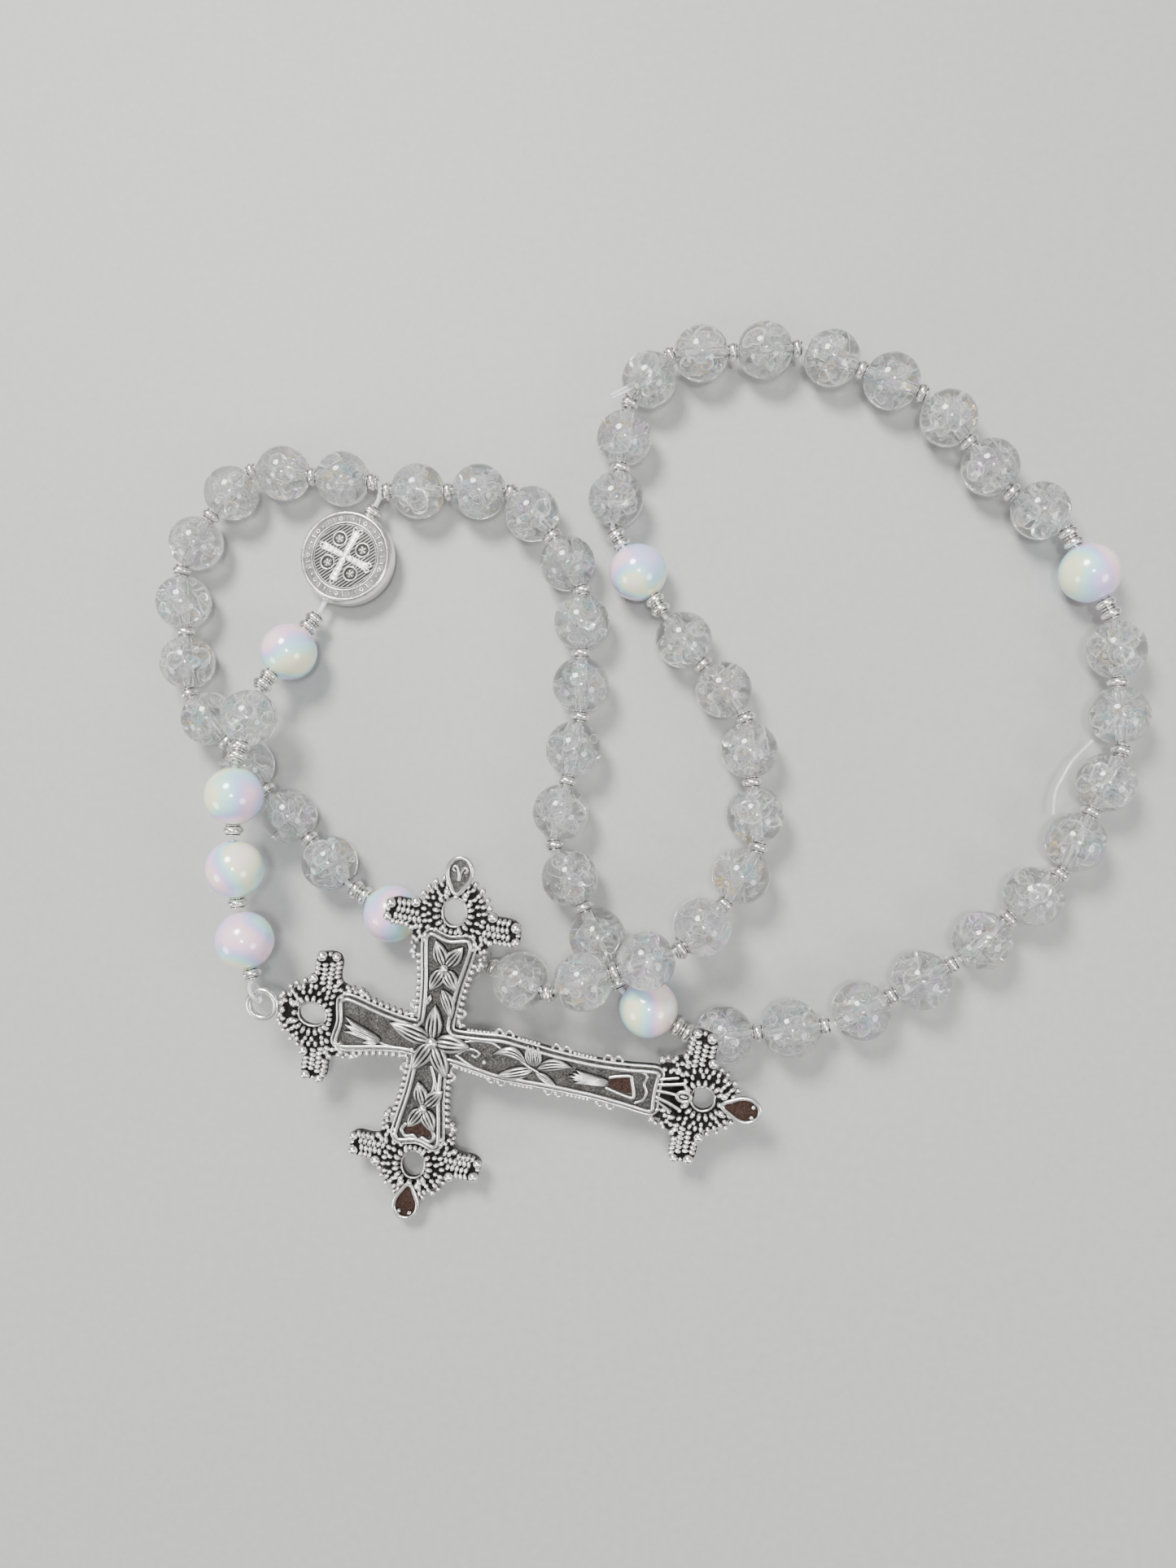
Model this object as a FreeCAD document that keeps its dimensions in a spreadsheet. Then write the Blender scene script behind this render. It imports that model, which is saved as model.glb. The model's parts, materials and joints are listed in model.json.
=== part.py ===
import FreeCAD, Part
import Sketcher
import math
import os

from FreeCAD import Placement, Rotation, Vector

# A five-decade rosary, laid out in loops on a flat surface. Millimetres, +Z up, the origin on that
# surface under the middle of the whole layout, +X along its longest side.

doc = FreeCAD.newDocument("rosary")
sheet = doc.addObject("Spreadsheet::Sheet", "sizes")

SIZES = {
    "crackle_diameter": 8.0,
    "crackle_length": 7.5,
    "crackle_bore": 1.5,
    "crackle_mouth": 2.5,
    "crackle_mouth_depth": 0.45,
    "pearl_diameter": 8.2,
    "pearl_length": 7.9,
    "pearl_bore": 1.5,
    "pearl_mouth": 2.0,
    "pearl_mouth_depth": 0.25,
    "spacer_diameter": 2.8,
    "spacer_length": 1.5,
    "spacer_collar": 1.7,
    "spacer_bore": 1.25,
    "bead_gap": 0.06,
    "thread_diameter": 0.7,
    "thread_bend": 1.3,
    "thread_bare_bend": 0.6,
    "thread_end_gap": 0.14,
    "fold_gap": 0.32,
    "slack_diameter": 0.4,
    "slack_bend": 1.3,
    "medal_diameter": 14.0,
    "medal_thickness": 3.4,
    "medal_rim": 0.9,
    "medal_recess": 0.45,
    "medal_bore": 1.5,
    "medal_cross_long": 7.6,
    "medal_cross_short": 5.2,
    "medal_cross_bar": 1.1,
    "cross_centre": 24.7,
    "cross_top_hole": 7.2,
    "cross_bottom_hole": 62.4,
    "cross_side_hole": 18.55,
    "panel_top": 10.9,
    "panel_bottom": 58.7,
    "panel_side": 14.85,
    "panel_width": 6.4,
    "panel_thickness": 1.9,
    "panel_rim": 0.65,
    "panel_recess": 0.5,
    "end_thickness": 1.7,
    "end_radius": 4.35,
    "end_hole": 1.6,
    "wing_reach": 8.0,
    "wing_back": 2.4,
    "wing_radius": 1.6,
    "wing_bar": 2.6,
    "wing_ball_reach": 9.3,
    "wing_ball_back": 2.5,
    "ball_radius": 0.8,
    "drop_centre": 5.3,
    "drop_length": 4.8,
    "drop_width": 3.1,
    "drop_thickness": 2.2,
    "eye_radius": 2.05,
    "eye_wire": 0.65,
    "eye_height": 1.3,
    "neck_width": 1.8,
    "loop_radius": 1.25,
    "loop_wire": 0.25,
    "knot_diameter": 0.9,
    "centre_boss": 1.6,
    "shift_along": -6.14,
    "shift_across": -2.805,
}
for row, (alias, value) in enumerate(SIZES.items(), start=1):
    sheet.set(f"A{row}", alias)
    sheet.set(f"B{row}", str(value))
    sheet.setAlias(f"B{row}", alias)
doc.recompute()


def size(alias):
    """A driving size, as the sheet holds it."""
    return float(sheet.get(alias))


def bind(thing, **rules):
    """Ties properties of a document object to the sheet. Each rule is written in the sheet's aliases."""
    for name, rule in rules.items():
        for alias in sorted(SIZES, key=len, reverse=True):
            rule = rule.replace(f"[{alias}]", f"sizes.{alias}")
        thing.setExpression(name.replace("__", "."), rule)
    return thing


SHIFT = Vector(size("shift_along"), size("shift_across"), 0)


def spot(x, y, z):
    """A point of the route, moved so that the layout is centred on the origin."""
    return Vector(x, y, z) + SHIFT


# The loop, as the run of the thread from one bend to the next. Each entry is the point where a run
# starts, what stands there, and what is strung on the run: b a crackle bead, s a spacer and p a pearl.
# At a "ball" a spacer sits on the bend itself, at a "bare" bend the thread shows, and at a "fold" a
# part of the loop can be lifted.
LOOP = [
    ((-30.92, 43.1, 3.3), "join", ""),
    ((-30.88, 44.9, 4.1), "bare", "sbsb"),
    ((-50.33, 47.35, 4.2), "ball", "b"),
    ((-56.6, 40.7, 4.1), "ball", "b"),
    ((-60.9, 32.4, 4.1), "ball", "bsb"),
    ((-59.1, 13.8, 4.1), "ball", "bsb"),
    ((-47.0, -0.5, 4.1), "ball", "bsb"),
    ((-34.4, -14.3, 4.2), "bare", "sspss"),
    ((-21.7, -22.4, 4.1), "bare", "b"),
    ((-13.3, -26.0, 4.2), "ball", "b"),
    ((-4.8, -28.9, 9.5), "ball", "bsb"),
    ((13.0, -22.9, 9.4), "ball", "b"),
    ((18.9, -17.0, 5.2), "ball", "b"),
    ((23.8, -9.1, 4.2), "ball", "bsb"),
    ((22.3, 9.1, 4.1), "ball", "bsb"),
    ((11.0, 23.9, 4.1), "bare", "sspss"),
    ((3.5, 36.8, 4.2), "bare", "bsb"),
    ((6.0, 55.3, 4.2), "ball", "b"),
    ((11.9, 62.3, 4.2), "ball", "bsbs"),
    ((31.3, 62.5, 4.1), "fold", "bsbs"),
    ((48.6, 54.7, 4.1), "fold", "bsb"),
    ((59.4, 40.3, 4.2), "ball", "b"),
    ((66.4, 35.2, 4.2), "bare", "sspss"),
    ((72.5, 21.9, 4.2), "bare", "bsb"),
    ((72.8, 3.9, 4.1), "ball", "bsb"),
    ((64.1, -12.8, 4.1), "ball", "bsb"),
    ((50.5, -24.5, 4.1), "fold", "sbsb"),
    ((33.7, -33.25, 4.1), "fold", "sbsb"),
    ((14.9, -35.3, 4.1), "bare", "ssp"),
    ((4.6, -28.9, 4.1), "bare", "ss"),
    ((3.2, -25.5, 4.1), "bare", "bsb"),
    ((-4.8, -8.6, 4.1), "ball", "bsb"),
    ((-1.1, 9.6, 4.1), "ball", "bsb"),
    ((-0.8, 27.9, 4.1), "ball", "b"),
    ((-5.1, 36.0, 4.1), "ball", "b"),
    ((-11.2, 42.8, 4.1), "ball", "bsbs"),
    ((-30.65, 43.6, 4.1), "bare", ""),
]

# The pendant, from where both ends of the loop meet, through the medal, to the knot at the cross.
PENDANT = [
    ((-30.92, 43.1, 3.3), "join", "sm"),
    ((-40.2, 25.9, 2.6), "fold", "sspss"),
    ((-47.4, 13.4, 7.7), "fold", "bss"),
    ((-48.9, 2.5, 11.4), "fold", "ps"),
    ((-49.5, -7.7, 10.0), "fold", "ps"),
    ((-49.3, -17.8, 8.0), "fold", "ps"),
    ((-46.9, -27.5, 8.0), "end", ""),
]

# The cross lies on its back: the eye's centre on the underside, its heading, slope and roll.
CROSS_EYE = (-45.3, -30.6, 7.15)
CROSS_HEADING = -11.4
CROSS_SLOPE = 12.95
CROSS_ROLL = -1.2

LENGTHS = {
    "b": size("crackle_length"),
    "p": size("pearl_length"),
    "s": size("spacer_length"),
    "m": size("medal_diameter"),
}


class Run:
    """A straight stretch of thread with what is strung on it."""

    def __init__(self, start, end, at_start, at_end, strung):
        self.start = start
        self.end = end
        self.at_start = at_start
        self.at_end = at_end
        self.strung = strung
        self.length = (end - start).Length
        self.along = (end - start).normalize()
        self.places = self.string_up()

    def clearance(self, bend):
        """How much of the run's end belongs to what stands on the bend."""
        if bend == "ball":
            return LENGTHS["s"] / 2
        if bend == "fold":
            return size("fold_gap")
        return 0.0

    def string_up(self):
        """The distance of each strung piece's middle from the run's start, with the slack at the ends."""
        gap = size("bead_gap")
        taken = sum(LENGTHS[kind] for kind in self.strung) + gap * max(0, len(self.strung) - 1)
        head = self.clearance(self.at_start)
        tail = self.clearance(self.at_end)
        slack = self.length - taken - head - tail
        if slack < 2 * gap - 0.01:
            raise ValueError(f"a run of {self.length:.2f} mm is too short for {self.strung}: {slack:.2f}")
        place = head + slack / 2
        places = []
        for kind in self.strung:
            places.append((kind, place + LENGTHS[kind] / 2))
            place += LENGTHS[kind] + gap
        return places

    def point(self, distance):
        return self.start + self.along * distance

    def frame(self, distance):
        """A placement on the run whose Z axis is the thread."""
        return Placement(self.point(distance), Rotation(Vector(0, 0, 1), self.along))


def runs_of(route, closed):
    ends = route[1:] + route[:1] if closed else route[1:]
    made = []
    for (start, at_start, strung), (end, at_end, _) in zip(route, ends):
        made.append(Run(spot(*start), spot(*end), at_start, at_end, strung))
    return made


loop_runs = runs_of(LOOP, True)
pendant_runs = runs_of(PENDANT, False)


def reach_of(run):
    """How far from a run's start its bend begins."""
    return size("thread_bare_bend" if run.at_start == "bare" else "thread_bend")


def spacer_on_bend(before, after):
    """The middle of a spacer on a bend: inside the corner, as far as its bore lets the thread run wide."""
    corner = before.end
    turn = before.along.getAngle(after.along)
    radius = reach_of(after) / math.tan(turn / 2)
    depth = radius / math.cos(turn / 2) - radius
    play = (size("spacer_bore") - size("thread_diameter")) / 2 - 0.09
    if depth <= play:
        return corner
    return corner + (after.along - before.along).normalize() * (depth - play)


def line_through(points, reaches, diameter):
    """A round line through the points, in straight pieces with a tangent arc at each corner."""
    radius = diameter / 2
    here = points[0]
    pieces = []
    length = 0
    for before, corner, after, reach in zip(points, points[1:], points[2:], reaches):
        one = (corner - before).normalize()
        two = (after - corner).normalize()
        turn = one.getAngle(two)
        bend = reach / math.tan(turn / 2)
        leaves = corner - one * reach
        inward = (two - one * one.dot(two)).normalize()
        section = Part.Face(Part.Wire(Part.makeCircle(radius, leaves, one)))
        elbow = section.revolve(leaves + inward * bend, one.cross(two), math.degrees(turn))
        pieces += [Part.makeCylinder(radius, (leaves - here).Length, here, one), elbow]
        length += (leaves - here).Length + bend * turn
        bend_radii.append(bend)
        here = corner + two * reach
    length += (points[-1] - here).Length
    pieces.append(Part.makeCylinder(radius, (points[-1] - here).Length, here, points[-1] - here))
    line = pieces[0].multiFuse(pieces[1:]) if len(pieces) > 1 else pieces[0]
    expected = math.pi * radius**2 * length
    if len(line.Solids) != 1 or abs(line.Volume - expected) > 0.01 * expected:
        raise ValueError(f"a line of {expected:.2f} mm3 came out as {line.Volume:.2f} mm3")
    line_lengths.append(length)
    return line.Solids[0]


def section_of(runs):
    """One tube of thread along consecutive runs."""
    setback = size("thread_end_gap")
    first, last = runs[0], runs[-1]
    start = first.start + first.along * (setback if first.at_start == "fold" else 0)
    stop = last.end - last.along * (setback if last.at_end == "fold" else 0)
    points = [start] + [run.start for run in runs[1:]] + [stop]
    return line_through(points, [reach_of(run) for run in runs[1:]], size("thread_diameter"))


bend_radii = []
line_lengths = []
sub_parts = []


def keep(thing, label, placement=None):
    """Counts an object as a sub-part: its label is the name of its node."""
    thing.Label = label
    if placement is not None:
        thing.Placement = placement
    sub_parts.append(thing)
    return thing


def plain(kind, name, **rules):
    return bind(doc.addObject(kind, name), **rules)


def moved(thing, **rules):
    """Ties the place of a primitive to the sheet, with one rule for each of x, y and z."""
    return bind(thing, **{f"Placement__Base__{axis}": rule for axis, rule in rules.items()})


def turned(thing, axis, degrees):
    thing.Placement = Placement(thing.Placement.Base, Rotation(axis, degrees))
    return thing


def joined(name, things):
    fuse = doc.addObject("Part::MultiFuse", name)
    fuse.Shapes = things
    return fuse


def cut(name, base, tool):
    made = doc.addObject("Part::Cut", name)
    made.Base = base
    made.Tool = tool
    return made


# Beads: spheres with both poles cut flat where the thread goes in, and a bore through them.
def bead_blank(name, kind):
    return plain(
        "Part::Sphere",
        name,
        Radius=f"[{kind}_diameter] / 2",
        Angle1=f"-asin([{kind}_length] / [{kind}_diameter])",
        Angle2=f"asin([{kind}_length] / [{kind}_diameter])",
    )


def mouth(name, kind, middle, up):
    """The worn, funnel-shaped mouth of a bore, at the upper or the lower end of the bead at middle."""
    cone = plain("Part::Cone", name, Height=f"[{kind}_mouth_depth]")
    narrow, wide = ("Radius1", "Radius2") if up else ("Radius2", "Radius1")
    bind(cone, **{narrow: f"[{kind}_bore] / 2", wide: f"[{kind}_mouth] / 2"})
    end = f"{middle} + [{kind}_length] / 2 - [{kind}_mouth_depth]"
    return moved(cone, z=end if up else f"{middle} - [{kind}_length] / 2")


def bored(name, kind, blank, middles):
    """A blank with a bore along Z through it, and a mouth at each end of each bead in it."""
    length = f"{2 * len(middles)} * [{kind}_length]"
    bore = plain("Part::Cylinder", f"{name}_bore", Radius=f"[{kind}_bore] / 2", Height=length)
    tools = [moved(bore, z=f"-({length}) / 2")]
    for index, middle in enumerate(middles):
        tools.append(mouth(f"{name}_mouth_{index}_up", kind, middle, True))
        tools.append(mouth(f"{name}_mouth_{index}_down", kind, middle, False))
    return cut(name, blank, joined(f"{name}_tool", tools))


def single_bead(label, kind, placement):
    blank = bead_blank(f"{label}_ball", kind)
    keep(bored(f"{label}_cut", kind, blank, ["0"]), label, placement)


def bead_pair(label, placement):
    """Two crackle beads with a spacer's room between them, on one straight stretch of thread."""
    half = "(([crackle_length] + [spacer_length]) / 2 + [bead_gap])"
    middles = [f"-{half}", half]
    pair = doc.addObject("Part::Compound", f"{label}_balls")
    pair.Links = [
        moved(bead_blank(f"{label}_ball_{index}", "crackle"), z=middle)
        for index, middle in enumerate(middles)
    ]
    keep(bored(f"{label}_cut", "crackle", pair, middles), label, placement)


def spacer_form():
    """A small silver ball with flat collars round its bore, its bore along Z."""
    half = size("spacer_length") / 2
    waist = size("spacer_diameter") / 2
    collar = size("spacer_collar") / 2
    bore = size("spacer_bore") / 2
    shoulder = 0.88 * waist
    corners = [
        Vector(bore, 0, -half),
        Vector(collar, 0, -half),
        Vector(shoulder, 0, -0.62 * half),
        Vector(waist, 0, -0.25 * half),
        Vector(waist, 0, 0.25 * half),
        Vector(shoulder, 0, 0.62 * half),
        Vector(collar, 0, half),
        Vector(bore, 0, half),
    ]
    outline = Part.makePolygon(corners + corners[:1])
    return Part.Face(outline).revolve(Vector(0, 0, 0), Vector(0, 0, 1), 360)


SPACER = spacer_form()


def spacers_at(label, placements):
    solids = []
    for placement in placements:
        solid = SPACER.copy()
        solid.Placement = placement
        solids.append(solid)
    group = doc.addObject("Part::Feature", f"{label}_group")
    group.Shape = Part.makeCompound(solids)
    keep(group, label)


# The parts of the layout that move as one: the loop, its two folds and each link of the pendant.
BODIES = ["loop", "right_fold", "outer_fold"] + [f"tail_{n}" for n in range(1, 6)]
FOLDS = [index for index, (_, bend, _) in enumerate(LOOP) if bend == "fold"]
FOLD_LIFT = 28.0
TAIL_LIFT = 10.0
CROSS_LIFT = 40.0


def body_of_run(index):
    """Which part of the layout a run of the loop belongs to, from the folds on each side of it."""
    if FOLDS[0] <= index < FOLDS[1] or FOLDS[2] <= index < FOLDS[3]:
        return "right_fold"
    if FOLDS[1] <= index < FOLDS[2]:
        return "outer_fold"
    return "loop"


spacer_places = {body: [] for body in BODIES}
spins = []


def note_spin(label, body, run, distance):
    """Keeps the axis that a bead turns on, which is the thread it is strung on."""
    spins.append((label, body, run.point(distance), run.along))


def string_loop():
    """The beads of the five decades with the four pearls that divide them."""
    count = 0
    decade = 1
    for index, run in enumerate(loop_runs):
        body = body_of_run(index)
        if run.at_start == "ball":
            before = loop_runs[index - 1]
            middle = spacer_on_bend(before, run)
            heading = (before.along + run.along).normalize()
            turn = Rotation(Vector(0, 0, 1), heading)
            spacer_places[body].append(Placement(middle, turn))
        beads = [distance for kind, distance in run.places if kind == "b"]
        for kind, distance in run.places:
            if kind == "s":
                spacer_places[body].append(run.frame(distance))
            if kind == "p":
                label = f"divider_pearl_{decade}"
                single_bead(label, "pearl", run.frame(distance))
                note_spin(label, body, run, distance)
                decade += 1
                count = 0
        if len(beads) == 2:
            label = f"decade_{decade}_beads_{count + 1}_{count + 2}"
            bead_pair(label, run.frame(sum(beads) / 2))
            note_spin(label, body, run, sum(beads) / 2)
        if len(beads) == 1:
            label = f"decade_{decade}_bead_{count + 1}"
            single_bead(label, "crackle", run.frame(beads[0]))
            note_spin(label, body, run, beads[0])
        count += len(beads)


def string_pendant():
    """The tail of the rosary: a spacer and the medal, then five beads on five links."""
    for index, run in enumerate(pendant_runs):
        body = f"tail_{index}" if index else "loop"
        for kind, distance in run.places:
            if kind == "s":
                spacer_places[body].append(run.frame(distance))
            if kind == "p":
                label = f"tail_pearl_{index}"
                single_bead(label, "pearl", run.frame(distance))
                note_spin(label, body, run, distance)
            if kind == "b":
                label = f"tail_crackle_{index}"
                single_bead(label, "crackle", run.frame(distance))
                note_spin(label, body, run, distance)
            if kind == "m":
                make_medal(run, distance)
                note_spin("centre_medal", body, run, distance)


# The medal: a round disc with a raised rim and a plain cross on both faces, drilled from edge to edge.
def plane_of(body, role):
    return [plane for plane in body.Origin.OriginFeatures if plane.Role == role][0]


def attached(body, name, role):
    sketch = body.newObject("Sketcher::SketchObject", name)
    sketch.AttachmentSupport = [(plane_of(body, role), "")]
    sketch.MapMode = "FlatFace"
    return sketch


def circle_sketch(body, name, role, rule):
    """A sketch of one circle on the body's origin, its radius tied to the sheet."""
    sketch = attached(body, name, role)
    sketch.addGeometry(Part.Circle(Vector(0, 0, 0), Vector(0, 0, 1), 1.0), False)
    sketch.addConstraint(Sketcher.Constraint("Coincident", 0, 3, -1, 1))
    sketch.addConstraint(Sketcher.Constraint("Radius", 0, 1.0))
    sketch.renameConstraint(1, "radius")
    return bind(sketch, Constraints__radius=rule)


def bar_sketch(body, name, role, half_long, half_wide):
    """A sketch of one rectangle centred on the body's origin, both sizes tied to the sheet."""
    sketch = attached(body, name, role)
    corners = [Vector(-2, -1, 0), Vector(2, -1, 0), Vector(2, 1, 0), Vector(-2, 1, 0)]
    for start, end in zip(corners, corners[1:] + corners[:1]):
        sketch.addGeometry(Part.LineSegment(start, end), False)
    for side in range(4):
        sketch.addConstraint(Sketcher.Constraint("Coincident", side, 2, (side + 1) % 4, 1))
    for side, kind in enumerate(["Horizontal", "Vertical"] * 2):
        sketch.addConstraint(Sketcher.Constraint(kind, side))
    sketch.addConstraint(Sketcher.Constraint("Symmetric", 0, 1, 2, 1, -1, 1))
    long_side = sketch.addConstraint(Sketcher.Constraint("DistanceX", 0, 1, 0, 2, 4.0))
    wide_side = sketch.addConstraint(Sketcher.Constraint("DistanceY", 1, 1, 1, 2, 2.0))
    sketch.renameConstraint(long_side, "along")
    sketch.renameConstraint(wide_side, "across")
    return bind(
        sketch, Constraints__along=f"2 * ({half_long})", Constraints__across=f"2 * ({half_wide})"
    )


def padded(body, name, sketch, rule):
    pad = body.newObject("PartDesign::Pad", name)
    pad.Profile = sketch
    pad.Midplane = True
    return bind(pad, Length=rule)


def make_medal(run, distance):
    body = doc.addObject("PartDesign::Body", "medal_body")
    disc = circle_sketch(body, "medal_outline", "XY_Plane", "[medal_diameter] / 2")
    padded(body, "medal_disc", disc, "[medal_thickness]")
    doc.recompute()
    whole = body.Shape.Volume
    for name, flipped in (("upper", False), ("lower", True)):
        inner = circle_sketch(
            body, f"medal_{name}_field", "XY_Plane", "[medal_diameter] / 2 - [medal_rim]"
        )
        bind(
            inner,
            AttachmentOffset__Base__z=("-1" if flipped else "1")
            + " * ([medal_thickness] / 2 - [medal_recess])",
        )
        pocket = body.newObject("PartDesign::Pocket", f"medal_{name}_recess")
        pocket.Profile = inner
        pocket.Reversed = not flipped
        bind(pocket, Length="2 * [medal_recess]")
    for name, half_long, half_wide in (
        ("upright", "[medal_cross_long] / 2", "[medal_cross_bar] / 2"),
        ("crossbar", "[medal_cross_bar] / 2", "[medal_cross_short] / 2"),
    ):
        bar = bar_sketch(body, f"medal_{name}_outline", "XY_Plane", half_long, half_wide)
        padded(body, f"medal_{name}", bar, "[medal_thickness] - [medal_recess]")
    bore = circle_sketch(body, "medal_bore_outline", "YZ_Plane", "[medal_bore] / 2")
    drilled = body.newObject("PartDesign::Pocket", "medal_drilled")
    drilled.Profile = bore
    drilled.Midplane = True
    bind(drilled, Length="2 * [medal_diameter]")
    doc.recompute()
    if not 0.75 * whole < body.Shape.Volume < 0.95 * whole:
        raise ValueError(f"the medal kept {body.Shape.Volume / whole:.2f} of its disc")
    across = Vector(0, 0, 1).cross(run.along).normalize()
    facing = run.along.cross(across).normalize()
    turn = Rotation(run.along, across, facing, "XYZ")
    keep(body, "centre_medal", Placement(run.point(distance), turn))


# The cross, in its own frame: X from the eye to the foot, Y across, Z out of the decorated face.
def cross_arm(name, along, start, end):
    """One bar of the panel: a plate, and the pocket that leaves a raised rim round it."""
    plate = plain("Part::Box", f"{name}_plate", Height="[panel_thickness]")
    field = plain("Part::Box", f"{name}_field", Height="[panel_thickness]")
    moved(field, z="[panel_thickness] - [panel_recess]")
    length = f"({end}) - ({start})"
    rim = "[panel_rim]"
    if along:
        bind(plate, Length=length, Width="[panel_width]")
        moved(plate, x=start, y="-[panel_width] / 2")
        bind(field, Length=f"{length} - 2 * {rim}", Width=f"[panel_width] - 2 * {rim}")
        moved(field, x=f"{start} + {rim}", y=f"-[panel_width] / 2 + {rim}")
    else:
        bind(plate, Width=length, Length="[panel_width]")
        moved(plate, x="[cross_centre] - [panel_width] / 2", y=start)
        bind(field, Width=f"{length} - 2 * {rim}", Length=f"[panel_width] - 2 * {rim}")
        moved(field, x=f"[cross_centre] - [panel_width] / 2 + {rim}", y=f"{start} + {rim}")
    return plate, field


def arm_end(name, with_drop):
    """The ornament at an arm's end, its pierced hole at the origin and its tip along X."""
    disc = plain("Part::Cylinder", f"{name}_disc", Radius="[end_radius]", Height="[end_thickness]")
    bar = plain(
        "Part::Box",
        f"{name}_bar",
        Length="[wing_bar]",
        Width="2 * [wing_reach]",
        Height="[end_thickness]",
    )
    moved(bar, x="-[wing_back] - [wing_bar] / 2", y="-[wing_reach]")
    solids = [disc, bar]
    for side, sign in (("left", ""), ("right", "-")):
        lobe = plain(
            "Part::Cylinder",
            f"{name}_{side}_lobe",
            Radius="[wing_radius]",
            Height="[end_thickness]",
        )
        moved(lobe, x="-[wing_back]", y=f"{sign}[wing_reach]")
        ball = plain("Part::Sphere", f"{name}_{side}_ball", Radius="[ball_radius]")
        moved(ball, x="-[wing_ball_back]", y=f"{sign}[wing_ball_reach]", z="[ball_radius]")
        solids += [lobe, ball]
    if with_drop:
        drop = plain(
            "Part::Ellipsoid",
            f"{name}_drop",
            Radius1="[drop_thickness] / 2",
            Radius2="[drop_length] / 2",
            Radius3="[drop_width] / 2",
        )
        moved(drop, x="[drop_centre]", z="[drop_thickness] / 2")
        solids.append(drop)
    hole = plain("Part::Cylinder", f"{name}_hole", Radius="[end_hole]", Height="4 * [end_thickness]")
    moved(hole, z="-[end_thickness]")
    return cut(f"{name}_pierced", joined(f"{name}_solid", solids), hole)


def make_cross():
    arms = [
        cross_arm("long_arm", True, "[panel_top]", "[panel_bottom]"),
        cross_arm("short_arm", False, "-[panel_side]", "[panel_side]"),
    ]
    plates = joined("panel_plates", [plate for plate, _ in arms])
    fields = joined("panel_fields", [field for _, field in arms])
    panel = cut("panel", plates, fields)
    ends = []
    for name, with_drop, degrees, place in (
        ("top_end", False, 180, {"x": "[cross_top_hole]"}),
        ("foot_end", True, 0, {"x": "[cross_bottom_hole]"}),
        ("left_end", True, 90, {"x": "[cross_centre]", "y": "[cross_side_hole]"}),
        ("right_end", True, -90, {"x": "[cross_centre]", "y": "-[cross_side_hole]"}),
    ):
        end = turned(arm_end(name, with_drop), Vector(0, 0, 1), degrees)
        ends.append(moved(end, **place))
    eye = plain("Part::Torus", "eye", Radius1="[eye_radius]", Radius2="[eye_wire]")
    moved(eye, z="[eye_height]")
    neck = plain("Part::Box", "neck", Height="[end_thickness]", Width="[neck_width]")
    bind(neck, Length="[cross_top_hole] - [end_hole] - [eye_radius] - 0.3")
    moved(neck, x="[eye_radius]", y="-[neck_width] / 2")
    boss = plain("Part::Sphere", "centre_ball", Radius="[centre_boss]")
    moved(boss, x="[cross_centre]", z="[panel_thickness] - [panel_recess]")
    doc.recompute()
    cast = [panel] + ends + [neck, eye, boss]
    solids = [solid for thing in cast for solid in thing.Shape.Solids]
    cross = doc.addObject("Part::Feature", "cross_casting")
    cross.Shape = solids[0].multiFuse(solids[1:]).removeSplitter()
    if len(cross.Shape.Solids) != 1:
        raise ValueError(f"the cross came out in {len(cross.Shape.Solids)} pieces")
    keep(cross, "cross", CROSS_PLACE)


CROSS_TURN = (
    Rotation(Vector(1, 0, 0), CROSS_SLOPE)
    * Rotation(Vector(0, 0, 1), CROSS_HEADING)
    * Rotation(Vector(0, 1, 0), CROSS_ROLL)
)
CROSS_PLACE = Placement(spot(*CROSS_EYE), CROSS_TURN)


# The thread: clear line through every bore, one tube for each part of the layout that moves alone.
def add_thread(body, tubes):
    thread = doc.addObject("Part::Feature", f"thread_{body}_line")
    thread.Shape = tubes[0] if len(tubes) == 1 else tubes[0].fuse(tubes[1:])
    keep(thread, f"thread_{body}")


def make_threads():
    join_ball = Part.makeSphere(0.8 * size("thread_diameter"), loop_runs[0].start)
    first = section_of(loop_runs[: FOLDS[0]])
    last = section_of(loop_runs[FOLDS[3] :])
    stem = section_of(pendant_runs[:1])
    add_thread("loop", [join_ball, first, last, stem])
    near = section_of(loop_runs[FOLDS[0] : FOLDS[1]])
    far = section_of(loop_runs[FOLDS[2] : FOLDS[3]])
    thread = doc.addObject("Part::Feature", "thread_right_fold_line")
    thread.Shape = Part.makeCompound([near, far])
    keep(thread, "thread_right_fold")
    add_thread("outer_fold", [section_of(loop_runs[FOLDS[1] : FOLDS[2]])])
    for index in range(1, 5):
        add_thread(f"tail_{index}", [section_of(pendant_runs[index : index + 1])])
    add_thread("tail_5", last_link())


def last_link():
    """The end of the thread: a lead from the last spacer, the loop round the eye's wire, and its knot."""
    hook, toward = eye_hook()
    run = pendant_runs[5]
    radius = size("thread_diameter") / 2
    top = hook + toward * size("loop_radius")
    knot = hook - toward * (size("loop_radius") + size("loop_wire") / 2)
    tube = section_of([run])
    lead = Part.makeCylinder(radius, (top - run.end).Length, run.end, top - run.end)
    elbow = Part.makeSphere(radius, run.end)
    ball = Part.makeSphere(size("knot_diameter") / 2, knot)
    across = toward.cross(CROSS_TURN.multVec(Vector(0, 0, 1))).normalize()
    ring = Part.makeTorus(size("loop_radius"), size("loop_wire"), hook, across)
    return [tube, elbow, lead, ball, ring]


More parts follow.
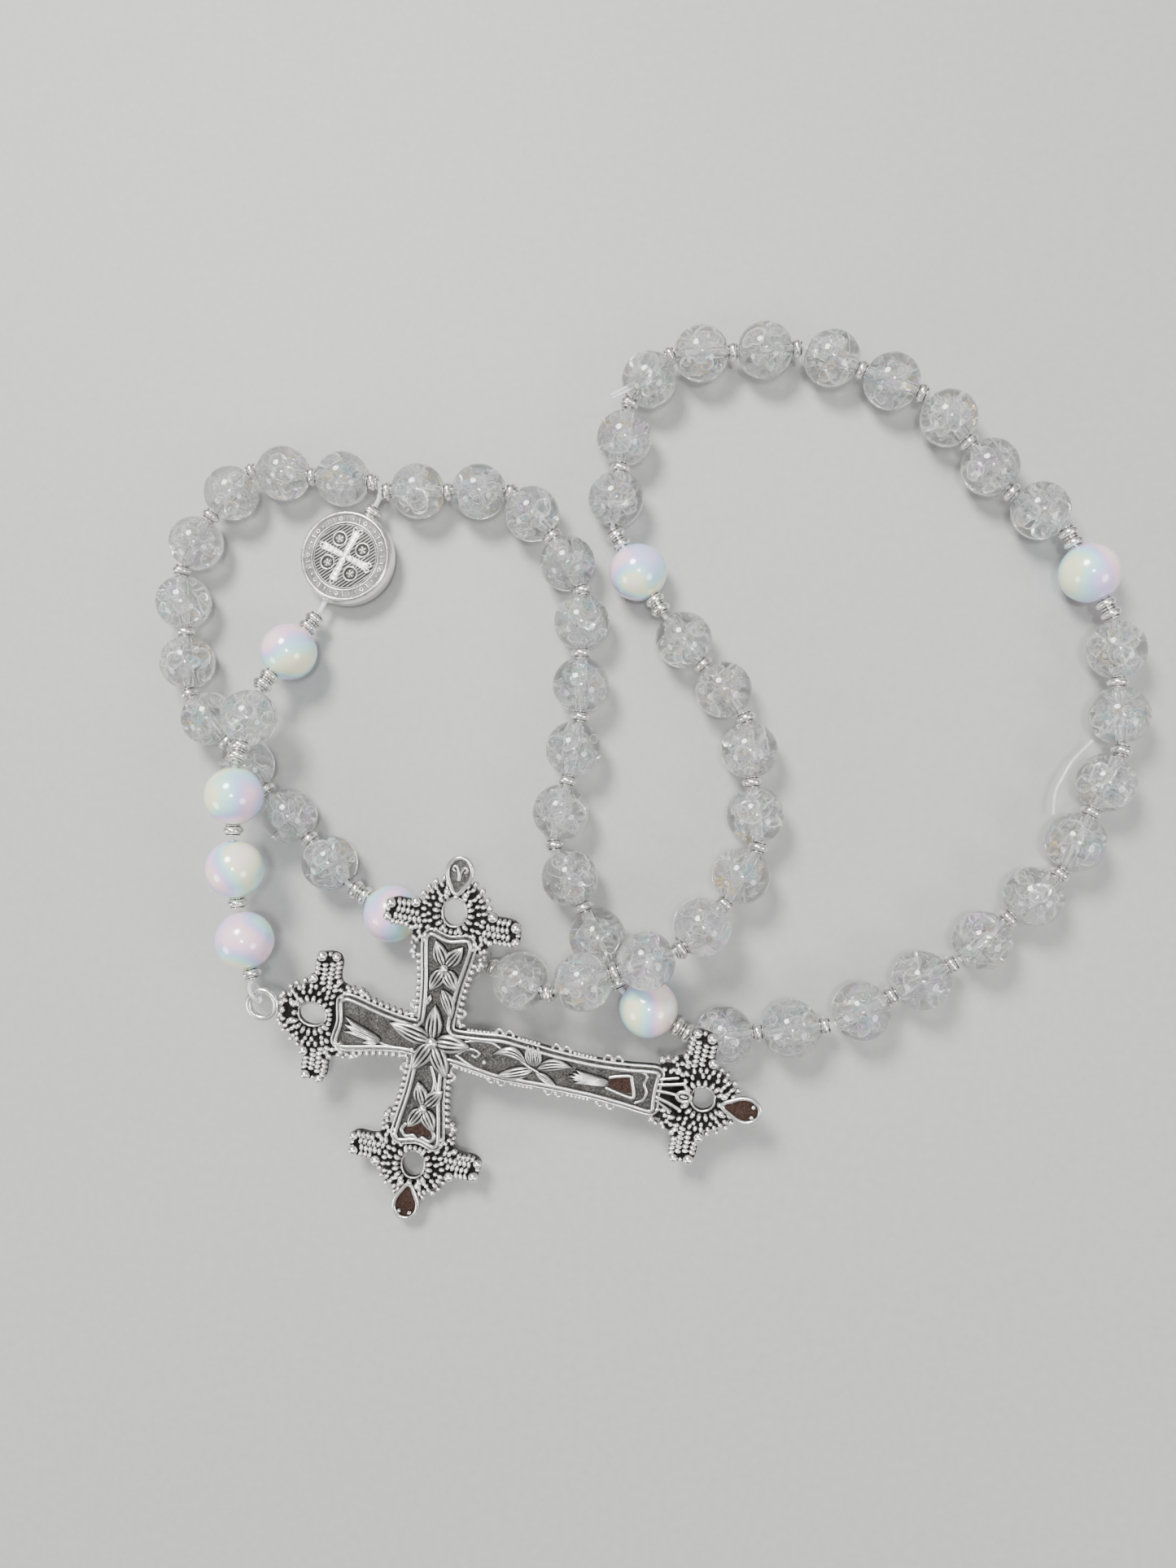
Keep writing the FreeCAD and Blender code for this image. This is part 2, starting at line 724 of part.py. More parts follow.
def eye_hook():
    """The middle of the eye's wire where the thread goes round it, and the way from there to the tail."""
    centre = CROSS_PLACE.multVec(Vector(0, 0, size("eye_height")))
    face = CROSS_TURN.multVec(Vector(0, 0, 1))
    away = pendant_runs[5].end - centre
    toward = (away - face * away.dot(face)).normalize()
    return centre + toward * size("eye_radius"), toward


# A strand of the stringing line that has pulled out and bows past one bead of the fourth decade.
SLACK = [(68.9, 5.3, 4.6), (65.9, 2.4, 5.0), (63.6, -1.6, 5.0), (63.4, -4.7, 4.6)]


def make_slack_strand():
    points = [spot(*place) for place in SLACK]
    strand = doc.addObject("Part::Feature", "slack_strand_line")
    strand.Shape = line_through(points, [size("slack_bend")] * 2, size("slack_diameter"))
    keep(strand, "slack_strand")


string_loop()
string_pendant()
for body, placements in spacer_places.items():
    spacers_at(f"spacers_{body}", placements)
make_threads()
make_slack_strand()
make_cross()
doc.recompute()


def check_document():
    for thing in doc.Objects:
        if "Invalid" in thing.State or "Error" in thing.State:
            raise ValueError(f"{thing.Label} failed")
    for thing in sub_parts:
        if thing.Shape.isNull() or not thing.Shape.isValid():
            raise ValueError(f"{thing.Label} has no valid shape")
    if len({thing.Label for thing in sub_parts}) != len(sub_parts):
        raise ValueError("two sub-parts have one name")


def write_parts():
    os.makedirs("parts", exist_ok=True)
    for thing in sub_parts:
        thing.Shape.exportStep(f"parts/{thing.Label}.step")


check_document()
write_parts()
whole = Part.makeCompound([thing.Shape for thing in sub_parts]).BoundBox
print("sub-parts:", len(sub_parts))
print("lifts:", FOLD_LIFT, TAIL_LIFT, CROSS_LIFT)
print("line radii:", sorted(round(radius, 1) for radius in bend_radii)[:12])
print("line lengths:", [round(length, 1) for length in line_lengths])
print(f"middle {whole.Center.x:.2f} {whole.Center.y:.2f}, lowest {whole.ZMin:.2f}")
print(f"size {whole.XLength:.1f} x {whole.YLength:.1f} x {whole.ZLength:.1f}")
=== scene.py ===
import bpy
import json
import math

import numpy as np
from mathutils import Matrix, Vector
from mathutils.geometry import tessellate_polygon

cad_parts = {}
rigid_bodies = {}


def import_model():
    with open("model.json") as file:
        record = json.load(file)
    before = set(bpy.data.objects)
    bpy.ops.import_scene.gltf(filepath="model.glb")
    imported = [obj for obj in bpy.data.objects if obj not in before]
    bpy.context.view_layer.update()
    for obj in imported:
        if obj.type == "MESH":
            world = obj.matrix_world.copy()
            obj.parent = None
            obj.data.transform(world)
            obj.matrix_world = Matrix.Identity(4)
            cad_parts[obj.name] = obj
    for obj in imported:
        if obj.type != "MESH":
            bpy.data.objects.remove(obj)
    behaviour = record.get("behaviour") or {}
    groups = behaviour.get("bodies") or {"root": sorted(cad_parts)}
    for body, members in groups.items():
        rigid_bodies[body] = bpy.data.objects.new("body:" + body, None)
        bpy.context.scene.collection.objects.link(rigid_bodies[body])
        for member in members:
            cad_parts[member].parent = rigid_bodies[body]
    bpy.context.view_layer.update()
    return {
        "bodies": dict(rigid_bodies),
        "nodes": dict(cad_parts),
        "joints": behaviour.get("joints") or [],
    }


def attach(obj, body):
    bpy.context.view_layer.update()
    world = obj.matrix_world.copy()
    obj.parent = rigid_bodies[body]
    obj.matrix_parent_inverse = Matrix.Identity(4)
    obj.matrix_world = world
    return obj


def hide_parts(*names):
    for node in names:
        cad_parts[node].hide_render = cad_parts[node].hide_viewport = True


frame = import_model()
rng = np.random.default_rng(11)
MM = 0.001

# ------------ camera, floor and light
camera = bpy.data.objects.new("camera", bpy.data.cameras.new("camera"))
bpy.context.scene.collection.objects.link(camera)
camera.data.lens = 27.05
camera.data.sensor_width = 36.0
camera.data.clip_start = 0.01
camera.location = Vector((10.62, -16.965, 169.55)) * MM
ahead = Vector((-0.10036, 0.08481, -0.99134)).normalized()
right = ahead.cross(Vector((0, 1, 0))).normalized()
up = right.cross(ahead)
camera.rotation_mode = "QUATERNION"
camera.rotation_quaternion = Matrix((right, up, -ahead)).transposed().to_quaternion()
bpy.context.scene.camera = camera


def area_light(name, place, size, power, colour=(1, 1, 1)):
    """A round soft light at place (m), turned towards the origin."""
    data = bpy.data.lights.new(name, "AREA")
    data.shape = "DISK"
    data.size = size
    data.energy = power
    data.color = colour
    light = bpy.data.objects.new(name, data)
    bpy.context.scene.collection.objects.link(light)
    light.location = place
    light.rotation_mode = "QUATERNION"
    light.rotation_quaternion = (-Vector(place)).to_track_quat("-Z", "Y")


area_light("key", (-0.14, 0.26, 0.40), 0.17, 3.9, (1.0, 0.99, 0.97))
area_light("fill", (0.40, -0.22, 0.30), 0.22, 1.3, (0.97, 0.985, 1.0))
area_light("rim", (-0.42, -0.25, 0.20), 0.20, 1.0)
area_light("overhead", (0.05, -0.03, 0.50), 0.07, 1.0)


def fill_ramp(elements, stops):
    """Sets the stops of a colour ramp, each a place with a grey or a colour."""
    while len(elements) < len(stops):
        elements.new(0.5)
    for element, (place, tone) in zip(elements, stops):
        element.position = place
        element.color = (*(tone if isinstance(tone, tuple) else (tone,) * 3), 1)


world = bpy.data.worlds.new("studio")
bpy.context.scene.world = world
world.use_nodes = True
world_tree = world.node_tree
sky = world_tree.nodes.new("ShaderNodeTexCoord")
split = world_tree.nodes.new("ShaderNodeSeparateXYZ")
fade = world_tree.nodes.new("ShaderNodeValToRGB")
fill_ramp(fade.color_ramp.elements, ((0.0, 0.50), (0.05, 0.42), (0.32, 0.33), (0.62, 0.70), (1.0, 1.0)))
world_tree.links.new(sky.outputs["Generated"], split.inputs["Vector"])
world_tree.links.new(split.outputs["Z"], fade.inputs["Fac"])
world_tree.links.new(fade.outputs["Color"], world_tree.nodes["Background"].inputs["Color"])
world_tree.nodes["Background"].inputs["Strength"].default_value = 0.80


# ------------ materials
class Shader:
    """A small helper for writing node materials."""

    def __init__(self, name):
        self.material = bpy.data.materials.new(name)
        self.material.use_nodes = True
        self.tree = self.material.node_tree
        self.bsdf = self.tree.nodes["Principled BSDF"]

    def node(self, kind, **settings):
        made = self.tree.nodes.new(kind)
        for key, value in settings.items():
            setattr(made, key, value)
        return made

    def feed(self, target, value):
        """Links an output to the target input, or sets the input to a number or a colour."""
        if isinstance(value, bpy.types.NodeSocket):
            self.tree.links.new(value, target)
        else:
            target.default_value = (*value, 1) if isinstance(value, tuple) else value

    def set(self, **values):
        for key, value in values.items():
            self.feed(self.bsdf.inputs[key.replace("_", " ")], value)

    def attribute(self, name):
        return self.node("ShaderNodeAttribute", attribute_name=name)

    def noise(self, scale, detail=3.0, vector=None, rough=0.5):
        made = self.node("ShaderNodeTexNoise")
        made.inputs["Scale"].default_value = scale
        made.inputs["Detail"].default_value = detail
        made.inputs["Roughness"].default_value = rough
        self.feed(made.inputs["Vector"], vector or self.node("ShaderNodeTexCoord").outputs["Object"])
        return made.outputs["Fac"]

    def ramp(self, source, stops, smooth=False):
        made = self.node("ShaderNodeValToRGB")
        made.color_ramp.interpolation = "EASE" if smooth else "LINEAR"
        fill_ramp(made.color_ramp.elements, stops)
        self.feed(made.inputs["Fac"], source)
        return made.outputs["Color"]

    def math(self, operation, one, two):
        made = self.node("ShaderNodeMath", operation=operation)
        for target, value in zip(made.inputs, (one, two)):
            self.feed(target, value)
        return made.outputs[0]

    def mix(self, factor, one, two):
        made = self.node("ShaderNodeMix", data_type="RGBA")
        sockets = [socket for socket in made.inputs if socket.enabled]
        for target, value in zip(sockets, (factor, one, two)):
            self.feed(target, value)
        return [socket for socket in made.outputs if socket.enabled][0]

    def bump(self, height, strength, distance=0.0001):
        made = self.node("ShaderNodeBump")
        made.inputs["Strength"].default_value = strength
        made.inputs["Distance"].default_value = distance
        self.feed(made.inputs["Height"], height)
        self.set(Normal=made.outputs["Normal"])


def floor_material():
    shader = Shader("pale_floor")
    tone = shader.ramp(shader.noise(900, 4), [(0.3, (0.385, 0.385, 0.38)), (0.7, (0.415, 0.415, 0.41))])
    shader.set(Base_Color=tone, Roughness=0.62)
    shader.bump(shader.noise(2500, 3), 0.12, 0.0002)
    return shader.material


def glass_material():
    shader = Shader("clear_crackle_glass")
    roughness = shader.ramp(shader.noise(700, 4), [(0.4, 0.012), (0.7, 0.06)])
    shader.set(Base_Color=(0.995, 0.995, 0.99), Transmission_Weight=1.0, IOR=1.5, Roughness=roughness)
    shader.bump(shader.noise(420, 2), 0.10, 0.0003)
    return shader.material


def crack_material():
    """Air gaps inside the glass: mirror-like where they are seen aslant, clear where they are faced."""
    shader = Shader("cracks_in_glass")
    edge = shader.attribute("edge").outputs["Fac"]
    facing = shader.node("ShaderNodeLayerWeight")
    facing.inputs["Blend"].default_value = 0.5
    slant = shader.ramp(facing.outputs["Facing"], [(0.05, 0.18), (0.45, 0.50), (0.8, 0.9)])
    grain = shader.ramp(shader.noise(1500, 5, rough=0.65), [(0.44, 0.12), (0.56, 1.0)])
    veil = shader.math("MULTIPLY", slant, grain)
    tint = shader.attribute("tint").outputs["Color"]
    shader.set(Base_Color=tint, Metallic=0.38, Roughness=0.06, Alpha=shader.math("MAXIMUM", veil, edge))
    shader.bump(shader.noise(1300, 3), 0.5, 0.0002)
    return shader.material


def pearl_material():
    """White glaze under an iridescent lustre, in soft bands that run round each bead its own way."""
    shader = Shader("pearl_lustre")
    local = shader.attribute("local").outputs["Vector"]
    bands = shader.noise(0.15, 0.6, local, 0.3)
    tones = [(0.28, (0.90, 0.80, 0.70)), (0.36, (0.86, 0.86, 0.46)), (0.42, (0.44, 0.86, 0.66))]
    tones += [(0.47, (0.30, 0.74, 0.84)), (0.52, (0.34, 0.54, 0.88)), (0.57, (0.60, 0.44, 0.88))]
    tones += [(0.62, (0.92, 0.54, 0.74)), (0.68, (0.94, 0.72, 0.62)), (0.76, (0.80, 0.86, 0.84))]
    lustre = shader.ramp(bands, tones, True)
    shader.set(Base_Color=shader.mix(0.27, lustre, (0.86, 0.84, 0.86)), Roughness=0.22)
    shader.set(Specular_IOR_Level=0.8, Coat_Weight=1.0, Coat_Roughness=0.03)
    shader.set(Subsurface_Weight=0.12, Subsurface_Scale=0.0012)
    shader.bump(shader.noise(600, 2), 0.05, 0.0002)
    return shader.material


def spacer_material():
    """Bright rolled silver, with painted shade darkening the groove between the ball and its collars."""
    shader = Shader("bright_silver_plate")
    tone = shader.ramp(shader.noise(1400, 4), [(0.35, (0.80, 0.79, 0.75)), (0.65, (0.97, 0.96, 0.93))])
    # painted shade: where lift is low, in the groove by the collars, the silver is painted dark grey
    groove_shade = shader.attribute("lift").outputs["Fac"]
    roughness = shader.ramp(shader.noise(3200, 5), [(0.35, 0.17), (0.7, 0.30)])
    shader.set(Base_Color=shader.mix(groove_shade, (0.16, 0.15, 0.14), tone), Metallic=1.0, Roughness=roughness)
    shader.bump(shader.noise(2600, 4), 0.10, 0.0001)
    return shader.material


def line_material():
    shader = Shader("clear_nylon_line")
    tone = shader.ramp(shader.noise(1600, 2), [(0.3, (0.82, 0.84, 0.85)), (0.7, (0.95, 0.96, 0.97))])
    shader.set(Base_Color=tone, Transmission_Weight=0.42, IOR=1.46, Roughness=0.12)
    shader.bump(shader.noise(900, 2), 0.06, 0.0002)
    return shader.material


def antique_material(name, dark, middle, bright, spread):
    """Cast silver: patina where "lift" is low and polished metal where it is high."""
    shader = Shader(name)
    local = shader.attribute("local").outputs["Vector"]
    lift = shader.attribute("lift").outputs["Fac"]
    speck = shader.noise(3.6, 7, local, 0.75)
    soft = shader.noise(0.7, 3, local)
    worn = shader.math("ADD", lift, shader.math("MULTIPLY", shader.math("SUBTRACT", speck, 0.5), spread))
    worn = shader.math("ADD", worn, shader.math("MULTIPLY", shader.math("SUBTRACT", soft, 0.5), 0.25))
    tones = [(0.14, dark), (0.34, middle), (0.58, (0.60, 0.59, 0.575)), (0.85, bright)]
    tone = shader.ramp(worn, tones)
    red = shader.attribute("red").outputs["Fac"]
    stain = shader.ramp(speck, [(0.35, (0.038, 0.020, 0.016)), (0.62, (0.125, 0.078, 0.062))])
    roughness = shader.ramp(worn, [(0.2, 0.60), (0.5, 0.36), (0.9, 0.20)])
    shader.set(Base_Color=shader.mix(red, tone, stain), Metallic=1.0, Roughness=roughness)
    shader.bump(shader.noise(5.5, 5, local, 0.6), 0.35, 0.00006)
    return shader.material


FLOOR = floor_material()
GLASS = glass_material()
CRACKS = crack_material()
PEARL = pearl_material()
BRIGHT = spacer_material()
LINE = line_material()
CROSS_TONES = ((0.026, 0.024, 0.023), (0.165, 0.157, 0.150), (0.95, 0.94, 0.92))
ANTIQUE = antique_material("antique_silver_cast", *CROSS_TONES, 0.95)
MEDAL_TONES = ((0.045, 0.042, 0.040), (0.22, 0.215, 0.205), (0.93, 0.92, 0.89))
MEDAL = antique_material("medal_silver_cast", *MEDAL_TONES, 0.25)


# ------------ mesh helpers
class Form:
    """Gathers vertices and faces in millimetres, with an attribute or two, for one object."""

    def __init__(self):
        self.parts = []
        self.count = 0

    def add(self, points, faces, **values):
        points = np.asarray(points, float)
        shades = {key: np.broadcast_to(np.asarray(v, float), (len(points),)) for key, v in values.items()}
        self.parts.append((points, np.asarray(faces) + self.count, shades))
        self.count += len(points)

    def build(self, name, material, place=None, colours=None):
        """Makes the object, its vertices moved by place, and its own coordinates kept as "local"."""
        local = np.concatenate([points for points, _, _ in self.parts])
        moved = local
        if place is not None:
            turn = np.array(place.to_3x3())
            moved = local @ turn.T + np.array(place.translation)
        mesh = bpy.data.meshes.new(name)
        counts = np.concatenate([np.full(len(f), f.shape[1]) for _, f, _ in self.parts])
        loops = np.concatenate([f.ravel() for _, f, _ in self.parts])
        mesh.vertices.add(len(moved))
        mesh.vertices.foreach_set("co", (moved * MM).astype(np.float32).ravel())
        mesh.loops.add(len(loops))
        mesh.loops.foreach_set("vertex_index", loops.astype(np.int32))
        mesh.polygons.add(len(counts))
        starts = np.concatenate([[0], np.cumsum(counts)[:-1]])
        mesh.polygons.foreach_set("loop_start", starts.astype(np.int32))
        mesh.update(calc_edges=True)
        mesh.validate()
        mesh.polygons.foreach_set("use_smooth", np.ones(len(mesh.polygons), bool))
        spot = mesh.attributes.new("local", "FLOAT_VECTOR", "POINT")
        spot.data.foreach_set("vector", local.astype(np.float32).ravel())
        for key in ("lift", "edge", "red"):
            if any(key in shades for _, _, shades in self.parts):
                values = [shades.get(key, np.zeros(len(points))) for points, _, shades in self.parts]
                layer = mesh.attributes.new(key, "FLOAT", "POINT")
                layer.data.foreach_set("value", np.concatenate(values).astype(np.float32))
        if colours is not None:
            layer = mesh.attributes.new("tint", "FLOAT_COLOR", "POINT")
            layer.data.foreach_set("color", np.asarray(colours, np.float32).ravel())
        mesh.materials.append(material)
        made = bpy.data.objects.new(name, mesh)
        bpy.context.scene.collection.objects.link(made)
        return made


def grid_faces(rows, columns, wrap=False, wrap_rows=False):
    """Quads over rows by columns of points, closed round the columns or the rows where asked."""
    row = np.arange(rows if wrap_rows else rows - 1)
    column = np.arange(columns if wrap else columns - 1)
    r, c = np.meshgrid(row, column, indexing="ij")
    r2, c2 = (r + 1) % rows, (c + 1) % columns
    quads = np.stack([r * columns + c, r * columns + c2, r2 * columns + c2, r2 * columns + c], -1)
    return quads.reshape(-1, 4)


def turned_form(profile, sides, closed=True):
    """A body of revolution round Z from (radius, height) points."""
    profile = np.asarray(profile, float)
    angle = full_turn(sides)
    radius, height = profile[:, :1], profile[:, 1:]
    points = np.stack([radius * np.cos(angle), radius * np.sin(angle), np.repeat(height, sides, 1)], -1)
    return points.reshape(-1, 3), grid_faces(len(profile), sides, True, closed)


def frame_at(place, axis, twist):
    """A matrix at place (mm) whose Z is the axis, turned about it by twist."""
    turn = Vector(axis).normalized().to_track_quat("Z", "Y").to_matrix().to_4x4()
    return Matrix.Translation(Vector(place)) @ turn @ Matrix.Rotation(twist, 4, "Z")


def unit(vector):
    return vector / np.linalg.norm(vector)


def at_height(flat, height):
    """Flat (x, y) points as points at one height."""
    return np.column_stack([flat, np.full(len(flat), height)])


def full_turn(count):
    """Evenly spaced angles round a circle."""
    return np.linspace(0, 2 * math.pi, count, endpoint=False)


def smooth_line(points, count, closed=False):
    """Points evenly along a Catmull-Rom curve through the given ones."""
    points = np.asarray(points, float)
    if closed:
        padded = np.concatenate([points[-1:], points, points[:2]])
    else:
        padded = np.concatenate([2 * points[:1] - points[1:2], points, 2 * points[-1:] - points[-2:-1]])
    spans = len(padded) - 3
    fine = np.linspace(0, spans, 24 * spans, endpoint=not closed)
    index = np.minimum(fine.astype(int), spans - 1)
    t = (fine - index)[:, None]
    a, b, c, d = (padded[index + k] for k in range(4))
    curve = 0.5 * (2 * b + (c - a) * t + (2 * a - 5 * b + 4 * c - d) * t**2 + (3 * b - a - 3 * c + d) * t**3)
    if closed:
        curve = np.concatenate([curve, curve[:1]])
    steps = np.concatenate([[0], np.cumsum(np.linalg.norm(np.diff(curve, axis=0), axis=1))])
    at = np.linspace(0, steps[-1], count, endpoint=not closed)
    return np.stack([np.interp(at, steps, curve[:, k]) for k in range(curve.shape[1])], -1)


def tube_form(points, radius, sides=10, closed=False):
    """A round wire along the points, with a rounded tip at each open end."""
    points = np.asarray(points, float)
    radii = np.full(len(points), radius)
    if closed:
        ahead_of = np.roll(points, -1, 0) - np.roll(points, 1, 0)
    else:
        ahead_of = np.gradient(points, axis=0)
    along = ahead_of / np.linalg.norm(ahead_of, axis=1, keepdims=True)
    if not closed:
        first = [points[0] - along[0] * radius * k for k in (1.0, 0.8, 0.4)]
        last = [points[-1] + along[-1] * radius * k for k in (0.4, 0.8, 1.0)]
        points = np.concatenate([first, points, last])
        along = np.concatenate([[along[0]] * 3, along, [along[-1]] * 3])
        tip = radius * np.array([0.02, 0.6, 0.92])
        radii = np.concatenate([tip, radii, tip[::-1]])
    side = np.cross(along, [0, 0, 1.0])
    side /= np.maximum(np.linalg.norm(side, axis=1, keepdims=True), 1e-6)
    above = np.cross(side, along)
    angle = full_turn(sides)
    ring = side[:, None] * np.cos(angle)[None, :, None] + above[:, None] * np.sin(angle)[None, :, None]
    made = points[:, None] + ring * radii[:, None, None]
    lift = np.clip(0.42 + 0.75 * ring[..., 2], 0, 1)
    return made.reshape(-1, 3), grid_faces(len(points), sides, True, closed), lift.ravel()


# ------------ where the beads are
spins = {j["name"][: -len("_spin")]: j for j in frame["joints"] if j["name"].endswith("_spin")}
# Diameters and lengths along the line, in millimetres, as in the CAD.
CRACKLE, CRACKLE_LENGTH = 8.0, 7.5
PEARL_WIDTH, PEARL_LENGTH = 8.2, 7.9
SPACER_LENGTH = 1.5
STRINGING_GAP = 0.06
PAIR_STEP = (CRACKLE_LENGTH + SPACER_LENGTH) / 2 + STRINGING_GAP
BORE = 0.62


def bead_profile(diameter, length, bore, lip):
    """The outline of a bead: its round side, a softened lip and the bore, as (radius, height)."""
    radius = diameter / 2
    reach = math.asin((length - lip) / diameter)
    side = [(radius * math.cos(a), radius * math.sin(a)) for a in np.linspace(-reach, reach, 40)]
    top_radius, top = side[-1]
    lip_curve = []
    for turn in np.linspace(0, math.pi / 2, 7)[1:]:
        across = top_radius + (bore - top_radius) * math.sin(turn) ** 1.3
        sink = (length / 2 - top) * math.sin(turn * 1.55)
        lip_curve.append((across, top + sink))
    down = [(bore, length / 2 - 0.45), (bore, 0.0), (bore, -length / 2 + 0.45)]
    low = [(r, -h) for r, h in reversed(lip_curve)]
    return side + lip_curve + down + low


FLAKES, LARGE_FLAKES, STREAKS = 74, 32, 10
GLINTS = ((0.95, 0.70, 0.34), (0.48, 0.82, 0.92), (0.80, 0.62, 0.92), (0.64, 0.92, 0.72))


def crack_flakes(radius, bore):
    """The crazing inside one bead: curled flakes of air between its bore and its skin."""
    form = Form()
    tints = []
    rings, sectors = 5, 14
    for index in range(FLAKES):
        reach = rng.uniform(0.8, 1.6) if index < LARGE_FLAKES else rng.uniform(0.35, 0.8)
        normal = unit(rng.normal(size=3))
        side = unit(np.cross(normal, [0.3, 0.5, 0.8]))
        other = np.cross(normal, side)
        out = unit(rng.normal(size=3))
        middle = out * radius * rng.uniform(0.30, 0.70)
        angle = full_turn(sectors)
        jag = 1 + 0.28 * rng.normal(size=sectors)
        jag = np.clip(0.5 * jag + 0.25 * (np.roll(jag, 1) + np.roll(jag, -1)), 0.45, 1.5)
        share = np.array([0.02, 0.40, 0.70, 0.88, 1.0])
        r = share[:, None] * jag[None, :] * reach
        x, y = r * np.cos(angle), r * np.sin(angle)
        curl = rng.uniform(-0.22, 0.22)
        wave = rng.uniform(0.12, 0.26)
        phase = rng.uniform(0, 6.28, 2)
        z = curl * r**2 + wave * np.sin(2.6 * x + phase[0]) * np.cos(2.3 * y + phase[1]) * (r / reach)
        points = middle + x[..., None] * side + y[..., None] * other + z[..., None] * normal
        points = points.reshape(-1, 3)
        far = np.linalg.norm(points, axis=1)
        limit = radius * rng.uniform(0.80, 0.95)
        points *= np.minimum(1, limit / far)[:, None]
        across = np.linalg.norm(points[:, :2], axis=1)
        push = np.maximum(1, (bore + 0.12) / np.maximum(across, 0.05))
        points[:, :2] *= push[:, None]
        cap = CRACKLE_LENGTH / 2 - 0.25
        points[:, 2] = np.clip(points[:, 2], -cap, cap)
        edge = np.repeat(np.array([0, 0, 0.1, 0.9, 1.0]), sectors) * rng.choice([0.25, 1.0])
        form.add(points, grid_faces(rings, sectors, True), edge=edge)
        lucky = rng.uniform()
        tone = (1.0, 1.0, 1.0)
        if reach < 0.9 and lucky < 0.30:
            tone = GLINTS[int(lucky / 0.075)]
        tints += [(*tone, 1.0)] * len(points)
    for _ in range(STREAKS):
        turn = rng.uniform(0, 6.28)
        width = rng.uniform(0.10, 0.32)
        low, high = sorted(rng.uniform(-3.3, 3.3, 2))
        height = np.linspace(low - 0.5, high + 0.5, 12).clip(-3.4, 3.4)
        lean = turn + 0.10 * np.sin(height * rng.uniform(0.8, 2.0))
        sides = (lean - width / 2, lean + width / 2)
        reach = bore + 0.08
        rails = [np.column_stack([reach * np.cos(a), reach * np.sin(a), height]) for a in sides]
        points = np.stack(rails, 1)
        form.add(points.reshape(-1, 3), grid_faces(12, 2), edge=0.6)
        tints += [(1.0, 1.0, 1.0, 1.0)] * 24
    return form, tints


def crackle_node(node):
    joint = spins[node]
    place = np.array(joint["pos_m"]) / MM
    axis = np.array(joint["axis"])
    steps = [-PAIR_STEP, PAIR_STEP] if "_beads_" in node else [0.0]
    for number, step in enumerate(steps):
        centre = place + axis * step
        seat = frame_at(centre, axis, rng.uniform(0, 6.28))
        profile = bead_profile(CRACKLE, CRACKLE_LENGTH, BORE, 0.18)
        glass = Form()
        glass.add(*turned_form(profile, 64))
        shell = glass.build(f"{node}_glass_{number + 1}", GLASS, seat)
        flakes, tints = crack_flakes(CRACKLE / 2, BORE)
        inside = flakes.build(f"{node}_cracks_{number + 1}", CRACKS, seat, tints)
        for piece in (shell, inside):
            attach(piece, node)
            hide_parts(node)


def pearl_node(node):
    joint = spins[node]
    place = np.array(joint["pos_m"]) / MM
    seat = frame_at(place, joint["axis"], rng.uniform(0, 6.28))
    form = Form()
    points, faces = turned_form(bead_profile(PEARL_WIDTH, PEARL_LENGTH, BORE, 0.2), 72)
    form.add(points, faces)
    pearl = form.build(f"{node}_glaze", PEARL, seat)
    drift = rng.uniform(-40, 40, 3)
    layer = pearl.data.attributes["local"]
    layer.data.foreach_set("vector", (points + drift).astype(np.float32).ravel())
    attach(pearl, node)
    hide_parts(node)


for node in spins:
    if "decade" in node or "crackle" in node:
        crackle_node(node)
    elif "pearl" in node:
        pearl_node(node)


# ------------ spacers
def islands(mesh):
    """The separate pieces of a mesh: each one's middle (mm) and the axis that its flat ends face."""
    points = np.array([v.co for v in mesh.vertices]) / MM
    same = np.unique(np.round(points, 3), axis=0, return_inverse=True)[1].ravel()
    starts, ends = same[np.array([edge.vertices[:] for edge in mesh.edges])].T
    group = np.arange(len(points))
    moving = True
    while moving:
        before = group.copy()
        least = np.minimum(group[starts], group[ends])
        np.minimum.at(group, starts, least)
        np.minimum.at(group, ends, least)
        moving = (group != before).any()
    groups = {}
    for face in mesh.polygons:
        groups.setdefault(group[same[face.vertices[0]]], []).append(face)
    found = []
    for faces in groups.values():
        normals = np.array([face.normal for face in faces])
        areas = np.array([face.area for face in faces])
        level = np.abs(normals @ normals.T) > 0.9998
        axis = normals[np.argmax(level @ areas)]
        side = unit(np.cross(axis, [0.31, 0.52, 0.79]))
        turn = np.array([axis, side, np.cross(axis, side)])
        corners = points[[v for face in faces for v in face.vertices]] @ turn.T
        found.append(((corners.min(0) + corners.max(0)) / 2 @ turn, axis))
    return found


def spacer_profile():
    """A rolled silver ball: a full waist, a small step and a flat collar round each end of the bore."""
    side = [(1.42 * math.cos(a) ** 0.80, 0.72 * math.sin(a)) for a in np.linspace(-1.12, 1.12, 29)]
    collar = [(0.86, 0.625), (1.05, 0.640), (1.09, 0.70), (1.03, 0.765), (0.66, 0.77)]
    collar += [(0.56, 0.71), (0.50, 0.55)]
    return [(r, -h) for r, h in reversed(collar)] + side + collar


def spacer_node(node, body):
    form = Form()
    profile = spacer_profile()
    # painted shade: the ends of the waist next to the collars get a low lift, so the groove there is painted
    # dark
    groove_shade = np.array([min(1, max(0.0, (r - 0.86) / 0.30)) if abs(h) < 0.63 else 0.9 for r, h in profile])
    for middle, axis in islands(frame["nodes"][node].data):
        points, faces = turned_form(profile, 40)
        turn = np.array(frame_at((0, 0, 0), axis, rng.uniform(0, 6.28)).to_3x3())
        form.add(points @ turn.T + middle, faces, lift=np.repeat(groove_shade, 40))
    piece = form.build(f"{node}_silver", BRIGHT)
    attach(piece, body)
    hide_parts(node)


for body in frame["bodies"]:
    if f"spacers_{body}" in frame["nodes"]:
        spacer_node(f"spacers_{body}", body)

for name, node in frame["nodes"].items():
    if name.startswith("thread") or name == "slack_strand":
        node.data.materials.clear()
        node.data.materials.append(LINE)


